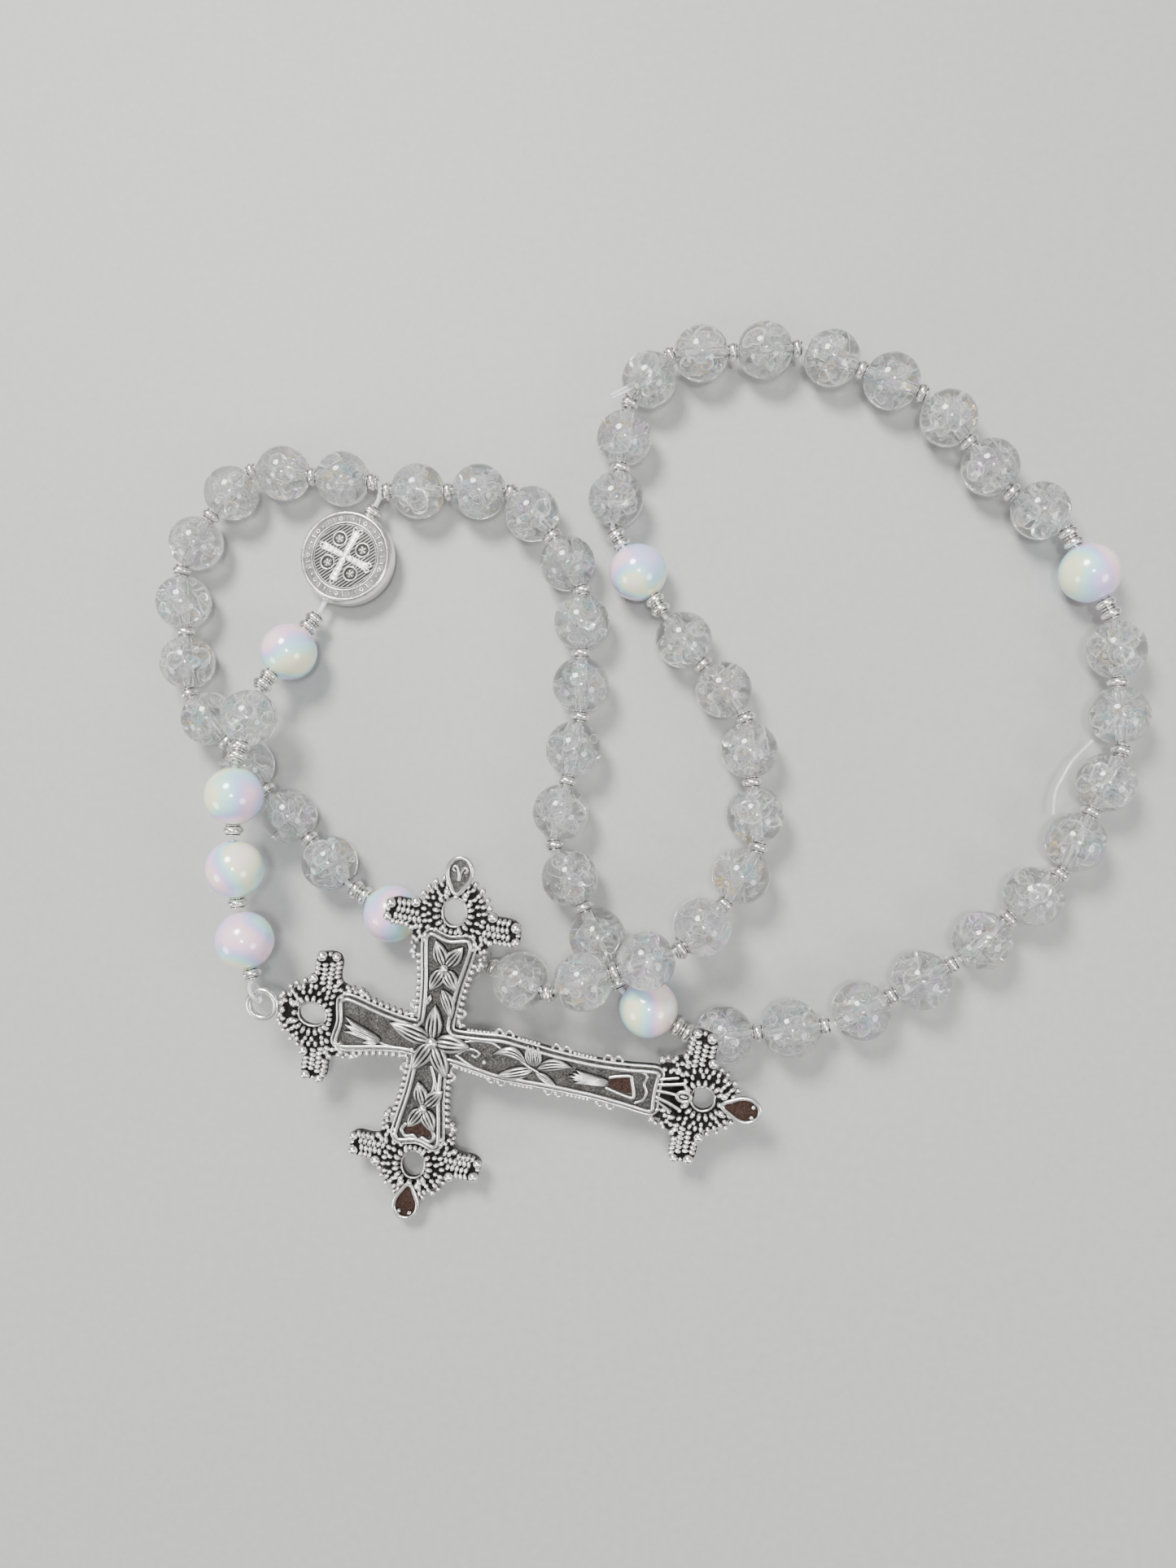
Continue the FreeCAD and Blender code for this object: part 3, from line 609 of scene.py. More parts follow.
# the two cut ends of the line, beside the knot in the third decade
ends = Form()
for shift, lift in ((-0.24, 0.0), (0.24, 0.1)):
    path = [(1.0 + shift * 0.3, 54.9, 5.0), (0.3 + shift * 0.5, 54.2 - shift, 5.9 + lift)]
    path += [(x + shift * 0.5, y - shift, z + lift) for x, y, z in ((-1.0, 53.45, 6.3), (-2.35, 52.65, 6.6))]
    points, faces, _ = tube_form(smooth_line(path, 24), 0.21, 12)
    ends.add(points, faces)
cut_ends = ends.build("thread_cut_ends", LINE)
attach(cut_ends, "loop")


# ------------ medal
MEDAL_RADIUS = 7.0
FACE_HEIGHT, RELIEF, EDGE_DROP = 1.25, 0.42, 0.8


def bump_at(distance, width):
    """A rounded ridge: 1 on the line and 0 from width away."""
    return np.sqrt(np.clip(1 - (distance / width) ** 2, 0, 1))


def medal_relief(x, y):
    """The height of the medal's face over its field, 0 to 1."""
    r = np.hypot(x, y)
    angle = np.arctan2(y, x)
    height = np.where(r > 6.2, 0.9 * np.clip((r - 6.2) / 0.18, 0, 1) ** 0.6, 0.0)
    for radius, width, tall in ((5.02, 0.13, 0.62), (4.72, 0.08, 0.40)):
        height = np.maximum(height, tall * bump_at(np.abs(r - radius), width))
    count = 36
    step = 2 * math.pi / count
    turn = (angle / step) % 1 - 0.5
    number = (np.floor(angle / step).astype(int) * 7) % 4
    along = turn * step * 5.6
    out = r - 5.6
    dot = bump_at(np.hypot(along, out), 0.20)
    leaf = bump_at(np.hypot(along / 0.42, out / 1.3), 0.30)
    bar = bump_at(np.abs(along - 0.2 * out), 0.10) * (np.abs(out) < 0.36)
    hook = bump_at(np.abs(np.hypot(along, out) - 0.24), 0.09)
    band = np.select([number == 0, number == 1, number == 2], [dot, leaf, bar], hook) * 0.62
    height = np.maximum(height, band * (np.abs(out) < 0.45))
    height = np.maximum(height, 0.12 * ((r > 5.1) & (r < 6.2)))
    inside = r < 4.6
    bars = groove = notch = np.zeros_like(r)
    for run, over, end in ((np.abs(x), np.abs(y), 3.9), (np.abs(y), np.abs(x), 3.7)):
        flare = 0.32 + 0.16 * np.clip((run - 2.2) / 1.8, 0, 1)
        bars = np.maximum(bars, bump_at(np.maximum(over - flare, 0), 0.16) * (run < end))
        groove = np.maximum(groove, bump_at(np.abs(over - flare + 0.04), 0.08) * (run > 0.3))
        notch = np.maximum(notch, bump_at(np.abs((run / 0.8 % 1 - 0.5) * 0.8), 0.10) * (over < 0.3))
    bars = np.clip(bars * 0.85 - 0.45 * groove - 0.22 * notch, 0, 1) * (bars > 0)
    height = np.maximum(height, np.where(inside, bars, 0))
    for px, py in ((4.15, 0), (-4.15, 0.42), (-4.15, -0.42), (0.42, 3.95), (-0.42, 3.95), (0, -3.95)):
        height = np.maximum(height, 0.62 * bump_at(np.abs(np.hypot(x - px, y - py) - 0.30), 0.13))
    clear = np.ones_like(r, bool)
    for px in (1.95, -1.95):
        for py in (1.95, -1.95):
            away = np.hypot(x - px, y - py)
            height = np.maximum(height, 0.62 * bump_at(np.abs(away - 1.02), 0.13))
            petal = np.abs(np.cos(2.5 * np.arctan2(y - py, x - px)))
            height = np.maximum(height, 0.6 * petal * bump_at(away, 0.66))
            clear &= away > 1.15
    hatch = 0.26 * bump_at(((x * 0.5 + y * 0.87) / 0.42 % 1 - 0.5) * 0.42, 0.12)
    return np.where(clear & inside & (height < 0.1), hatch, height)


def medal_node():
    joint = spins["centre_medal"]
    along = Vector(joint["axis"]).normalized()
    across = Vector((0, 0, 1)).cross(along).normalized()
    facing = along.cross(across).normalized()
    seat = Matrix((along, across, facing)).transposed().to_4x4()
    seat.translation = Vector(joint["pos_m"]) / MM
    form = Form()
    rows = np.concatenate([np.linspace(0.02, 6.9, 116), [6.96, MEDAL_RADIUS]])
    sectors = 396
    angle = full_turn(sectors)
    r, a = np.meshgrid(rows, angle, indexing="ij")
    x, y = r * np.cos(a), r * np.sin(a)
    relief = medal_relief(x, y)
    rounded = np.where(r > 6.4, ((r - 6.4) / 0.6) ** 2, 0)
    worn = np.clip(relief * 1.2 + 0.13, 0, 1)
    for sign in (1, -1):
        z = sign * (FACE_HEIGHT + RELIEF * relief - rounded * EDGE_DROP)
        faces = grid_faces(len(rows), sectors, True)[:, ::sign]
        form.add(np.stack([x, y, z], -1).reshape(-1, 3), faces, lift=worn.ravel())
    wall = []
    top = FACE_HEIGHT + RELIEF * 0.9 - EDGE_DROP
    for height in np.linspace(-1, 1, 9):
        bulge = MEDAL_RADIUS + 0.04 * (1 - height**2)
        level = np.full(sectors, top * height)
        wall.append(np.stack([bulge * np.cos(angle), bulge * np.sin(angle), level], -1))
    wall = np.array(wall).reshape(-1, 3)
    form.add(wall, grid_faces(9, sectors, True), lift=0.85)
    mouth = [(0.95, 6.7), (0.95, 7.05), (0.85, 7.1), (0.62, 7.1), (0.55, 7.0), (0.55, 6.4)]
    for end in (1, -1):
        ring, faces = turned_form(mouth, 32, False)
        tube = np.stack([ring[:, 2] * end, ring[:, 1], ring[:, 0]], -1)
        form.add(tube, faces, lift=0.8)
    piece = form.build("centre_medal_relief", MEDAL, seat)
    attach(piece, "centre_medal")
    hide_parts("centre_medal")


medal_node()

# ------------ cross
# The cross's own frame: x from the eye's centre along the long arm, y to its left, z up off its back.
CENTRE = 24.7
HOLE_EYE, HOLE_FOOT, HOLE_SIDE = 7.2, 62.4, 18.55
EYE_AT = Vector((-51.44, -33.405, 7.15))
SLOPE, HEADING, ROLL = 12.95, -11.4, -1.2
cross_turn = (
    Matrix.Rotation(math.radians(SLOPE), 4, "X")
    @ Matrix.Rotation(math.radians(HEADING), 4, "Z")
    @ Matrix.Rotation(math.radians(ROLL), 4, "Y")
)
CROSS_SEAT = Matrix.Translation(EYE_AT) @ cross_turn
PLATE_BACK = 0.1
PANEL_TOP = 1.15
FIELD = 1.1


def frame_in_plane(place, angle):
    """A function that turns (x, y) of a frame at place, turned by the angle, into the cross's own."""
    c, s = math.cos(angle), math.sin(angle)
    return lambda x, y: (place[0] + x * c - y * s, place[1] + x * s + y * c)


def plate(form, outline, holes, low, high, lift=0.1, red=0.0):
    """A flat plate between two heights, from an outline and the holes through it."""
    loops = [np.asarray(outline, float)] + [np.asarray(h, float) for h in holes]
    flat = np.concatenate(loops)
    faces = np.array(list(tessellate_polygon([[Vector((x, y, 0)) for x, y in loop] for loop in loops])))
    a, b, c = (flat[faces[:, k]] for k in range(3))
    turn = (b[:, 0] - a[:, 0]) * (c[:, 1] - a[:, 1]) - (b[:, 1] - a[:, 1]) * (c[:, 0] - a[:, 0])
    faces[turn < 0] = faces[turn < 0][:, ::-1]
    form.add(at_height(flat, high), faces, lift=lift, red=red)
    form.add(at_height(flat, low), faces[:, ::-1], lift=0.45)
    for loop in loops:
        signed = np.sum(loop[:, 0] * np.roll(loop[:, 1], -1) - np.roll(loop[:, 0], -1) * loop[:, 1])
        wall = np.concatenate([at_height(loop, low), at_height(loop, high)])
        faces = grid_faces(2, len(loop), True)
        flip = (signed > 0) != (loop is loops[0])
        form.add(wall, faces[:, ::-1] if flip else faces, lift=0.25)


BALL_SIDE = [(math.cos(a), math.sin(a)) for a in np.linspace(-1.5, 1.5, 9)]
BALL, BALL_FACES = turned_form(BALL_SIDE, 12, False)


def grain(form, x, y, long, wide, tall, angle=0.0, base=0.35):
    """A cast granule: a rounded lump, long along the angle, standing on base."""
    c, s = math.cos(angle), math.sin(angle)
    px = BALL[:, 0] * long / 2
    py = BALL[:, 1] * wide / 2
    points = np.stack([x + px * c - py * s, y + px * s + py * c, base + (BALL[:, 2] + 1) * tall / 2], -1)
    form.add(points, BALL_FACES, lift=np.clip(0.40 + 0.85 * BALL[:, 2], 0, 1))


def pack_grains(form, outline, pitch):
    """Fills an outline with uneven granules."""
    outline = np.asarray(outline, float)
    low, high = outline.min(0), outline.max(0)
    after = np.roll(outline, -1, 0)
    for row, y in enumerate(np.arange(low[1], high[1] + pitch, pitch * 0.87)):
        for x in np.arange(low[0] + pitch * 0.5 * (row % 2), high[0] + pitch, pitch):
            px, py = np.array([x, y]) + rng.uniform(-0.13, 0.13, 2)
            above = (outline[:, 1] > py) != (after[:, 1] > py)
            rise = np.where(above, after[:, 1] - outline[:, 1], 1.0)
            cross = outline[:, 0] + (py - outline[:, 1]) / rise * (after[:, 0] - outline[:, 0])
            if np.count_nonzero(above & (px < cross)) % 2 == 0:
                continue
            long, wide = rng.uniform(0.78, 1.02), rng.uniform(0.60, 0.74)
            grain(form, px, py, long, wide, rng.uniform(0.95, 1.3), rng.normal(0, 0.45), 0.42)


def hoop(form, flat, radius, height, sides, dim=1.0, glow=0.0):
    """A closed cast wire round a flat outline at one height, dimmed or brightened."""
    made, faces, lift = tube_form(at_height(flat, height), radius, sides, True)
    form.add(made, faces, lift=np.clip(lift * dim + glow, 0, 1))


def wire(form, points, radius, height, count=None):
    """A cast wire through given points at one height."""
    flat = smooth_line(points, count or 10 * len(points))
    made, faces, lift = tube_form(at_height(flat, height), radius)
    form.add(made, faces, lift=lift)


def from_crossing(points):
    """Points measured from the middle of the crossing, in the cross's own frame."""
    return [(CENTRE + x, y) for x, y in points]


def leaf(form, base, tip, width, tall, bend=0.0, veins=3, blunt=0.8):
    """A veined leaf or petal on the panel, domed and grooved, its ends measured from the crossing."""
    base, tip = np.array(from_crossing([base, tip]), float)
    reach_out = tip - base
    along = unit(reach_out)
    side = np.array([-along[1], along[0]])
    u = np.linspace(0, 1, 26)[:, None]
    v = np.linspace(-1, 1, 21)[None, :]
    reach = np.clip(np.sin(math.pi * u**blunt), 0, 1) ** 0.75 * width / 2 + 0.02
    spine = base + reach_out * u + side * bend * 4 * u * (1 - u)
    points = spine[:, None] + (v * reach)[..., None] * side
    dome = np.sqrt(np.clip(1 - v**2, 0, 1)) * (0.35 + 0.65 * np.sin(math.pi * np.clip(u, 0.02, 0.98)) ** 0.5)
    groove = np.zeros_like(dome)
    fade = np.sin(math.pi * np.clip(u * 1.15, 0, 1))
    for index in range(veins):
        at = (index - (veins - 1) / 2) * 0.5
        groove = np.maximum(groove, bump_at(np.abs(v - at * (1 - 0.35 * u)), 0.15) * fade)
    z = FIELD + tall * np.clip(dome - 0.24 * groove, 0, 1)
    lift = np.clip(-0.28 + 1.34 * dome - 0.95 * groove, 0, 1)
    points = np.concatenate([points, z[..., None]], -1)
    form.add(points.reshape(-1, 3), grid_faces(26, 21), lift=lift.ravel())


def ellipse(cx, cy, rx, ry, count):
    angle = full_turn(count)
    return np.column_stack([cx + rx * np.cos(angle), cy + ry * np.sin(angle)])


# The panel's edges, as distance from the crossing, and half width on the left and on the right.
FOOT_EDGE = [(3.0, 2.3, 2.75), (6.5, 2.6, 3.15), (9.6, 2.95, 3.5), (13.0, 2.75, 3.45), (17.2, 2.45, 3.3)]
FOOT_EDGE += [(22.5, 2.4, 3.25), (27.0, 2.75, 3.5), (29.8, 3.15, 3.75), (31.2, 3.2, 3.75)]
SIDE_HALVES = ((2.9, 2.55), (5.5, 2.65), (8.5, 2.95), (11.5, 3.45), (14.0, 3.8), (15.0, 3.6))
SIDE_EDGE = [(reach, half, half) for reach, half in SIDE_HALVES]
EYE_HALVES = ((2.9, 2.55), (5.5, 2.75), (8.0, 3.2), (10.5, 3.8), (12.4, 4.15), (13.5, 3.9))
EYE_EDGE = [(reach, half, half) for reach, half in EYE_HALVES]


def arm_outline(edge, end, dip):
    """One arm of the panel going out along its right side and back along its left, from the centre."""
    out = [(reach, -right_half) for reach, _, right_half in edge]
    back = [(reach, left_half) for reach, left_half, _ in reversed(edge)]
    wide_left, wide_right = edge[-1][1], edge[-1][2]
    tip = [(end, -wide_right + 0.75), (end - 0.05, -wide_right / 2), (end - dip, 0.0)]
    tip += [(end - 0.05, wide_left / 2), (end, wide_left - 0.75)]
    return out + tip + back


def panel_outline():
    arms = [
        (0, arm_outline(FOOT_EDGE, 32.0, 0.1)),
        (90, arm_outline(SIDE_EDGE, 15.75, 0.5)),
        (180, arm_outline(EYE_EDGE, 14.2, 0.35)),
        (270, arm_outline(SIDE_EDGE, 15.75, 0.5)),
    ]
    points = []
    for angle, arm in arms:
        at = frame_in_plane((CENTRE, 0), math.radians(angle))
        points += [at(x, y) for x, y in arm]
    return smooth_line(points, 420, True)


def inset(outline, depth):
    """The outline moved to its left: inwards if it runs anticlockwise, and outwards if clockwise."""
    ahead_of = np.roll(outline, -1, 0) - np.roll(outline, 1, 0)
    along = ahead_of / np.linalg.norm(ahead_of, axis=1, keepdims=True)
    return outline + np.column_stack([-along[:, 1], along[:, 0]]) * depth


# One wing beside a hole, and the balls on it, with y going away from the arm's middle line.
WING = [(0.4, 3.2), (0.5, 6.0), (0.45, 8.2), (-0.4, 9.2), (-2.4, 9.4), (-3.2, 8.3), (-3.2, 6.6), (-3.6, 5.4)]
WING += [(-4.9, 4.8), (-4.9, 3.2), (-3.0, 2.2)]
WING_BALLS = [(0.45, 5.35, 1.45), (-0.35, 8.75, 1.5), (-1.38, 9.1, 0.75), (-2.35, 9.0, 1.3)]
WING_BALLS += [(-3.25, 5.5, 0.95)]
# Four ropes of granules along the wing, as (x, start, end, lean).
WING_ROPES = [(0.0, 6.3, 8.2, 0.35), (-0.98, 4.3, 8.3, -0.15), (-1.95, 3.9, 8.4, 0.22)]
WING_ROPES += [(-2.85, 3.6, 8.3, -0.38)]
WING_ROOT = ((-3.6, 4.4), (-4.2, 4.1), (-4.8, 4.5), (-3.9, 3.4), (-4.6, 3.3), (-4.5, 5.0))
# Rows of granules round the hole, as degrees, their jitter, the row's radii, long, wide, tall and base.
RING_ROWS = (
    (np.linspace(32, 150, 7), 2, 2.55, 2.42, 1.12, 0.68, 1.2, 0.75),
    (np.linspace(26, 140, 7), 3, 3.5, 3.42, (0.72, 0.92), 0.66, 1.1, 0.6),
    (np.linspace(20, 130, 10), 2, 4.2, 4.18, 0.98, 0.66, 1.2, 0.42),
)
# Knobs where the arm's edge meets the lace, as (x, y, size, tall).
FOOT_KNOBS = ((-6.3, 4.3, 1.05, 1.25), (-5.6, 4.75, 0.7, 1.0))
ARM_KNOBS = ((-6.5, 4.85, 1.05, 1.2), (-5.75, 4.6, 0.7, 1.2), (-7.2, 4.55, 0.75, 1.2))
ARM_KNOBS += ((-5.3, 5.1, 0.6, 1.2),)


def lace_plates(at, kind, body):
    """The pierced disc, the rim of its hole and the two wings."""
    hole_x, hole_y = (1.55, 1.6) if kind == "foot" else (1.95, 1.6)
    disc = [at(x, y) for x, y in ellipse(0, 0, 4.45, 4.45 * 0.98, 90)]
    hole = [at(x, y) for x, y in ellipse(0, 0, hole_x, hole_y, 36)]
    plate(body, disc, [hole], PLATE_BACK, 0.95, 0.06)
    rim = [at(x, y) for x, y in ellipse(0, 0, hole_x + 0.12, hole_y + 0.12, 36)]
    hoop(body, np.array(rim), 0.2, 0.85, 8, 0.8)
    for side in (1, -1):
        shape = smooth_line([at(x, y * side) for x, y in WING], 50, True)
        plate(body, shape if side > 0 else shape[::-1], [], PLATE_BACK, 0.9, 0.05)


def lace_granules(at, angle, kind, grains):
    """Every granule and ball on the lace: the rows round the hole, the wings and the knobs."""

    def put(x, y, long, wide, tall, turn, base):
        grain(grains, *at(x, y), long, wide, tall, angle + turn, base)

    for side in (1, -1):
        for degrees, jitter, reach_x, reach_y, long, wide, tall, base in RING_ROWS:
            for degree in degrees:
                a = math.radians(degree + rng.uniform(-jitter, jitter))
                length = rng.uniform(*long) if isinstance(long, tuple) else long
                put(reach_x * math.cos(a), side * reach_y * math.sin(a), length, wide, tall, side * a, base)
        for degree in (26, 42, 57, 71):
            a = math.radians(degree + rng.uniform(-3, 3))
            size = rng.uniform(0.72, 0.95)
            put(4.95 * math.cos(a), side * 4.95 * math.sin(a), size, size, 1.0, 0, 0.3)
        for x, y, size in WING_BALLS:
            put(x, side * y, size, size, size + 0.1, 0, 0.42)
        for x, start, end, lean in WING_ROPES:
            for y in np.arange(start, end, 0.66):
                near = min(math.hypot(x - bx, y - by) - size / 2 for bx, by, size in WING_BALLS)
                if near > 0.22 and math.hypot(x, y) > 4.6:
                    shift, long = rng.uniform(-0.06, 0.06), rng.uniform(0.98, 1.14)
                    put(x + shift, side * y, long, 0.66, 1.25, side * lean, 0.42)
        for x, y in WING_ROOT:
            size = rng.uniform(0.66, 0.82)
            put(x, side * y, size, size, 1.05, 0, 0.4)
        for x, y, size, tall in FOOT_KNOBS if kind == "foot" else ARM_KNOBS:
            put(x, side * y, size, size, tall, 0, 0.3)
        put(2.75, side * 1.25, 1.25, 0.9, 1.25, side * 0.75, 0.8)
        put(2.15, side * 2.05, 0.75, 0.6, 1.1, side * 1.1, 0.8)
    put(2.35, 0, 0.8, 0.8, 1.2, 0, 0.9)
    for y in (-1.35, -0.7, 0.0, 0.7, 1.35):
        put(-2.68 + 0.12 * y * y, y, 0.78, 0.62, 1.0, 0, 0.75)


def teardrop(at, angle, kind, body, grains):
    """The drop at the arm's tip: silver with a scroll, or reddish with two small claws."""
    outline = [(2.9, 0.0), (4.1, 0.85), (5.4, 1.42), (6.6, 1.32), (7.45, 0.55)]
    outline += [(x, -y) for x, y in reversed(outline[1:])]
    drop = smooth_line([at(x, y) for x, y in outline], 56, True)
    is_silver = kind == "silver"
    plate(body, drop, [], 0.25, 1.45, 0.30 if is_silver else 0.1, 0.0 if is_silver else 0.85)
    hoop(body, inset(drop, 0.22), 0.3, 1.6, 10)
    for side in (1, -1):
        if is_silver:
            scroll = [(4.7, 0.1), (5.6, 0.16), (6.35, 0.42), (6.5, 0.82), (6.1, 0.98), (5.85, 0.72)]
            wire(body, [at(x, side * y) for x, y in scroll], 0.17, 1.6)
        else:
            grain(grains, *at(6.75, side * 0.72), 0.6, 0.6, 0.75, angle, 1.35)


def end_ornament(place, angle, kind, body, grains):
    """The pierced lace at an arm's end: its hole at place, and outwards along the angle."""
    at = frame_in_plane(place, angle)
    lace_plates(at, kind, body)
    lace_granules(at, angle, kind, grains)
    if kind != "eye":
        teardrop(at, angle, kind, body, grains)


def eye_and_neck(body, grains):
    """The cast eye that the line's loop runs through, and the granules that carry it."""
    hoop(body, ellipse(0, 0, 2.0, 2.0, 48), 0.46, 1.15, 14, 1.0, 0.2)
    for side in (1, -1):
        grain(grains, 2.75, side * 0.9, 0.9, 0.9, 1.2, 0, 0.5)
        grain(grains, 2.5, side * 1.75, 0.7, 0.7, 1.0, 0, 0.4)
    grain(grains, 3.1, 0, 0.9, 0.9, 1.3, 0, 0.6)


# The blades of the sprout, as radius, height and three points.
SPROUT = (
    (0.26, 1.35, (56.3, 0.9), (58.0, 1.3), (59.6, 1.75)),
    (0.26, 1.35, (56.3, 0.0), (57.6, 0.05), (58.8, 0.0)),
    (0.26, 1.35, (56.3, -0.9), (58.0, -1.35), (59.4, -1.9)),
    (0.20, 1.20, (56.3, 1.6), (57.4, 1.95), (58.6, 2.3)),
    (0.20, 1.20, (56.3, -1.5), (57.4, -2.0), (58.4, -2.5)),
)


def foot_sprout(body, grains, relief):
    """The sprout and the ring bead between the panel and the foot's hole, on a short web."""
    for radius, height, *blade in SPROUT:
        wire(relief, blade, radius, height)
    pack_grains(grains, [(56.3, -3.3), (59.3, -3.3), (59.3, -2.7), (56.3, -2.3)], 0.8)
    pack_grains(grains, [(56.3, 2.3), (59.3, 2.7), (59.3, 3.3), (56.3, 3.3)], 0.8)
    web = [(55.8, 3.2), (59.5, 3.4), (61, 2.2), (61, -2.2), (59.5, -3.4), (55.8, -3.4)]
    plate(body, smooth_line(web, 60, True), [], PLATE_BACK, 0.95, 0.08)
    hoop(relief, ellipse(59.85, 0, 0.95, 0.68, 28), 0.27, 1.5, 8)
    grain(grains, 59.85, 0, 1.2, 0.5, 0.8, 0, 1.0)


def short_arm_beading(grains):
    """A string of granules along both edges of each short arm."""
    for degrees, edge, end in ((90, SIDE_EDGE, 12.6), (180, EYE_EDGE, 11.0), (270, SIDE_EDGE, 12.6)):
        at = frame_in_plane((CENTRE, 0), math.radians(degrees))
        reaches, halves, _ = zip(*edge)
        for side in (1, -1):
            for reach in np.arange(4.3, end, 0.93):
                half = np.interp(reach, reaches, halves) + 0.42
                grain(grains, *at(reach, side * half), 0.95, 0.74, 1.15, math.radians(degrees + 90))


def corner_curls(grains, relief):
    """An S-curl in each inner corner of the cross."""
    curl = [(2.95, 5.2), (3.75, 5.0), (3.7, 4.3), (3.1, 3.9), (3.2, 3.25), (3.9, 3.1)]
    for sx in (1, -1):
        for sy in (1, -1):
            wire(relief, [(CENTRE + sx * x, sy * y) for x, y in curl], 0.24, 0.95)
            grain(grains, CENTRE + sx * 3.45, sy * 2.95, 0.7, 0.7, 1.0, 0, 0.4)


def long_arm_edging(grains, relief):
    """Half rings in pairs, and short runs of small beads between them, along the long arm."""
    reaches, left_halves, right_halves = zip(*FOOT_EDGE)
    for side, halves in ((1, left_halves), (-1, right_halves)):
        for pair in (9.6, 17.7, 24.9):
            for shift in (-0.72, 0.72):
                x = pair + shift
                y = np.interp(x, reaches, halves) + 0.05
                turns = np.linspace(0, math.pi, 7)
                arc = [(CENTRE + x + 0.55 * math.cos(a), side * (y + 0.72 * math.sin(a))) for a in turns]
                wire(relief, arc, 0.2, 0.95)
        for start, count in ((4.6, 8), (11.7, 6), (19.6, 6)):
            for x in start + 0.56 * np.arange(count):
                y = side * (np.interp(x, reaches, halves) + 0.22)
                grain(grains, CENTRE + x, y, 0.55, 0.55, 0.9, 0, 0.45)


# The two side flowers, as the middle and the petals' tips from it.
FLOWERS = (
    ((0.0, 10.7), ((-1.8, 3.7), (2.1, 3.5), (-1.5, -3.5), (2.1, -2.9))),
    ((0.2, -9.7), ((-1.3, 3.7), (2.3, 3.1), (-1.7, -3.2), (2.1, -3.2))),
)
# The petals of the middle flower, as tip and width.
MIDDLE_PETALS = [((-0.4, 5.4), 2.7), ((-6.3, 1.5), 2.9), ((5.3, 0.5), 3.0), ((-2.2, -4.6), 2.8)]
MIDDLE_PETALS += [((2.8, -4.8), 2.8)]
# Leaves, as base, tip, width, height, bend and veins, all measured from the crossing.
LEAVES = (
    ((0.1, 7.7), (2.1, 3.7), 2.0, 0.95, 0.25, 3),
    ((-1.3, 6.6), (-1.7, 4.9), 0.8, 0.6, 0.1, 1),
    ((1.2, -5.4), (2.0, -7.6), 0.8, 0.6, 0.1, 1),
    ((-7.6, -1.9), (-9.8, -2.3), 0.8, 0.6, -0.1, 1),
    ((13.3, -0.1), (8.5, 0.1), 1.8, 0.85, -1.0, 2),
    ((14.9, -0.5), (19.6, 0.7), 1.9, 0.95, 0.45, 3),
    ((14.4, -0.9), (9.4, -2.8), 1.9, 0.95, 0.1, 3),
    ((14.8, -1.2), (18.0, -2.6), 1.25, 0.7, 0.1, 2),
)
# Stems and scrolls, as radius, height and points from the crossing.
STEMS = (
    (0.24, 1.35, ((0.4, -3.6), (1.1, -5.2), (1.2, -6.6), (0.7, -8.4))),
    (0.20, 1.30, ((-2.6, -1.7), (-4.6, -1.9), (-6.2, -1.95), (-7.3, -1.7))),
    (0.20, 1.30, ((4.3, 0.9), (6.2, 1.5), (8.2, 1.6), (9.3, 1.2))),
    (0.20, 1.35, ((3.9, -0.8), (4.7, -0.1), (5.8, 0.15), (6.7, -0.2), (6.3, -0.85), (5.8, -0.7))),
    (0.22, 1.30, ((3.6, -1.2), (5.6, -2.1), (7.6, -2.6), (9.6, -2.75))),
    (0.22, 1.40, ((12.2, 0.2), (13.6, -0.5), (15.0, -1.0))),
)
HEART = [(-1.9, -12.6), (-2.3, -13.5), (-1.6, -14.3), (-0.5, -14.0), (0.1, -14.6), (0.8, -14.1)]
HEART += [(1.8, -14.4), (2.4, -13.6), (2.0, -12.7)]
HEART_FIELD = [(-1.5, -12.4), (-1.7, -13.7), (0, -13.9), (1.7, -13.8), (1.5, -12.4)]
POT = [(24.9, 0.45), (26.0, 0.85), (27.6, 1.2), (27.9, 0.6), (28.5, -1.3), (28.2, -1.75)]
POT += [(26.4, -1.5), (24.7, -1.15)]
POT_FIELD = [(25.2, 0.3), (27.3, 0.8), (28.0, -1.2), (25.2, -0.9)]
FOOT_SCROLL = [(27.8, 2.15), (29.0, 2.1), (29.8, 1.6), (29.6, 0.5), (30.1, -0.6), (29.8, -1.7)]
FOOT_SCROLL += [(28.9, -2.35)]


def petal(relief, middle, tip, start, *form):
    """A petal from close to a flower's middle to its tip, both measured from the crossing."""
    leaf(relief, np.add(middle, unit(tip) * start), np.add(middle, tip), *form)


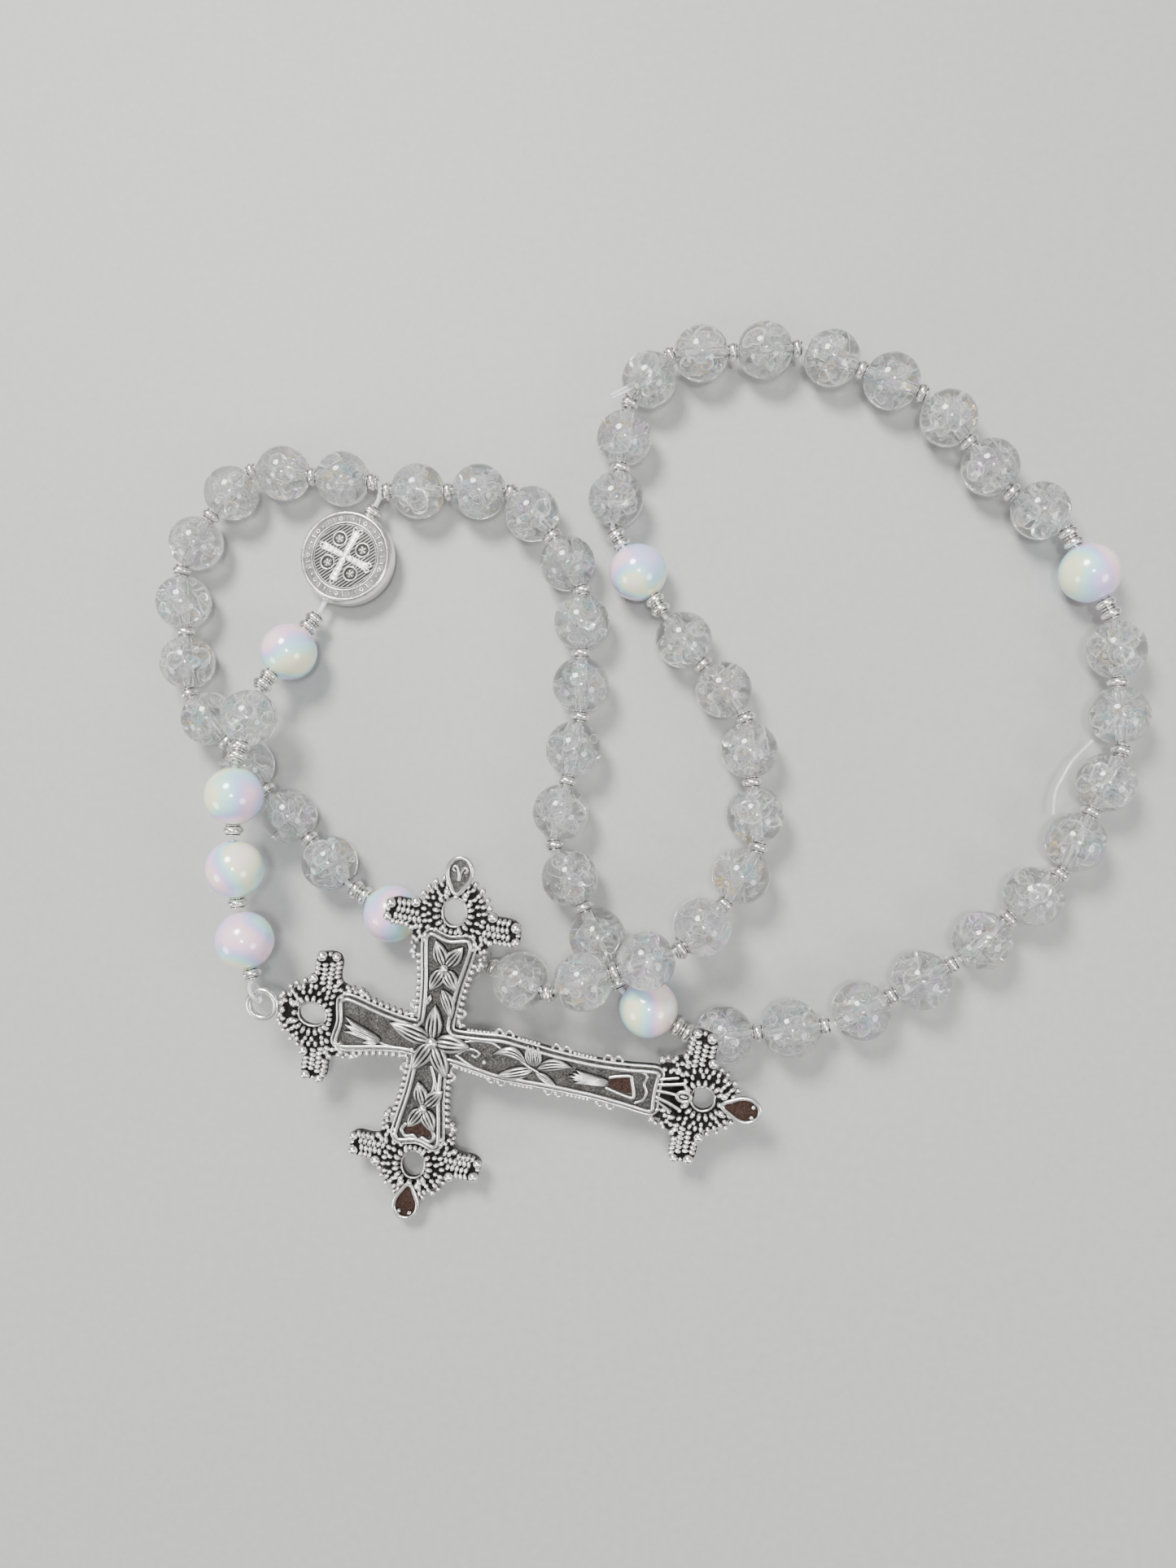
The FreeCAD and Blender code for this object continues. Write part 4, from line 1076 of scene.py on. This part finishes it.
def flowers_and_buds(relief):
    """The middle flower, the two side flowers, and the buds of the eye's arm and of the vine."""
    for tip, width in MIDDLE_PETALS:
        petal(relief, (0, 0), tip, 0.35, width, 1.15, 0.0, 3, 0.72)
    grain(relief, CENTRE, 0, 1.65, 1.65, 1.45, 0, 1.25)
    for middle, tips in FLOWERS:
        for tip in tips:
            petal(relief, middle, tip, 0.3, 2.35, 1.0, 0, 3, 0.75)
        grain(relief, CENTRE + middle[0], middle[1], 1.25, 1.25, 1.2, 0, 1.2)
    for offset, width in ((-0.75, 1.1), (0.7, 1.1), (0.0, 1.3)):
        base, tip = (-7.2, -1.5 + offset * 0.3), (-12.6, -0.1 + offset * 1.5)
        leaf(relief, base, tip, width, 0.95 if offset else 1.15, offset * 0.45, 2, 0.7)
    for offset in (-0.55, 0.55, 0.0):
        base, tip = (14.4 + offset * 0.5, -0.3), (13.8 + offset * 1.2, 2.6)
        leaf(relief, base, tip, 1.25, 0.9 if offset else 1.15, -offset * 0.4, 2, 0.75)
    for offset in (-0.85, 0.85, -0.4, 0.4, 0.0):
        base, tip = (24.8, -0.45 + offset * 0.35), (19.3 + abs(offset), -0.45 + offset * 1.15)
        leaf(relief, base, tip, 1.1, 1.2 - 0.3 * abs(offset), offset * 0.4, 2, 0.7)


def vine_and_scrolls(relief):
    """The leaves and stems, and the scrolls with their reddish fields."""
    for leaf_form in LEAVES:
        leaf(relief, *leaf_form)
    for radius, height, points in STEMS:
        wire(relief, from_crossing(points), radius, height)
    grain(relief, CENTRE + 7.6, -1.2, 0.7, 0.7, 0.8, 0, FIELD)
    wire(relief, from_crossing(HEART), 0.27, 1.4, 70)
    wire(relief, from_crossing(POT), 0.24, 1.4, 70)
    wire(relief, from_crossing(FOOT_SCROLL), 0.22, 1.35, 60)
    for field in (HEART_FIELD, POT_FIELD):
        plate(relief, smooth_line(from_crossing(field), 40, True), [], 0.9, 1.2, 0.1, 0.85)


def cross_piece():
    """The cross in its three pieces: the plate with its rims, the granules and the floral relief."""
    body, grains, relief = Form(), Form(), Form()
    outline = panel_outline()
    plate(body, outline, [], 0.0, PANEL_TOP, 0.29)
    for depth, radius, height in ((0.74, 0.25, 1.45), (0.10, 0.21, 1.08)):
        hoop(body, inset(outline, depth), radius, height, 12)
    end_ornament((HOLE_EYE, 0), math.pi, "eye", body, grains)
    end_ornament((HOLE_FOOT, 0), 0.0, "foot", body, grains)
    end_ornament((CENTRE, HOLE_SIDE), math.pi / 2, "silver", body, grains)
    end_ornament((CENTRE, -HOLE_SIDE), -math.pi / 2, "red", body, grains)
    eye_and_neck(body, grains)
    foot_sprout(body, grains, relief)
    short_arm_beading(grains)
    corner_curls(grains, relief)
    long_arm_edging(grains, relief)
    flowers_and_buds(relief)
    vine_and_scrolls(relief)
    for form, part in ((body, "plate_and_rims"), (grains, "granules"), (relief, "relief")):
        piece = form.build(f"cross_{part}", ANTIQUE, CROSS_SEAT)
        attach(piece, "cross")
        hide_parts("cross")


cross_piece()

# ------------ floor
floor_mesh = bpy.data.meshes.new("floor")
half = 3.0
corners = [(x * half, y * half, 0) for x, y in ((-1, -1), (1, -1), (1, 1), (-1, 1))]
floor_mesh.from_pydata(corners, [], [(0, 1, 2, 3)])
floor_mesh.materials.append(FLOOR)
floor = bpy.data.objects.new("floor", floor_mesh)
floor.location.z = -0.00002
bpy.context.scene.collection.objects.link(floor)
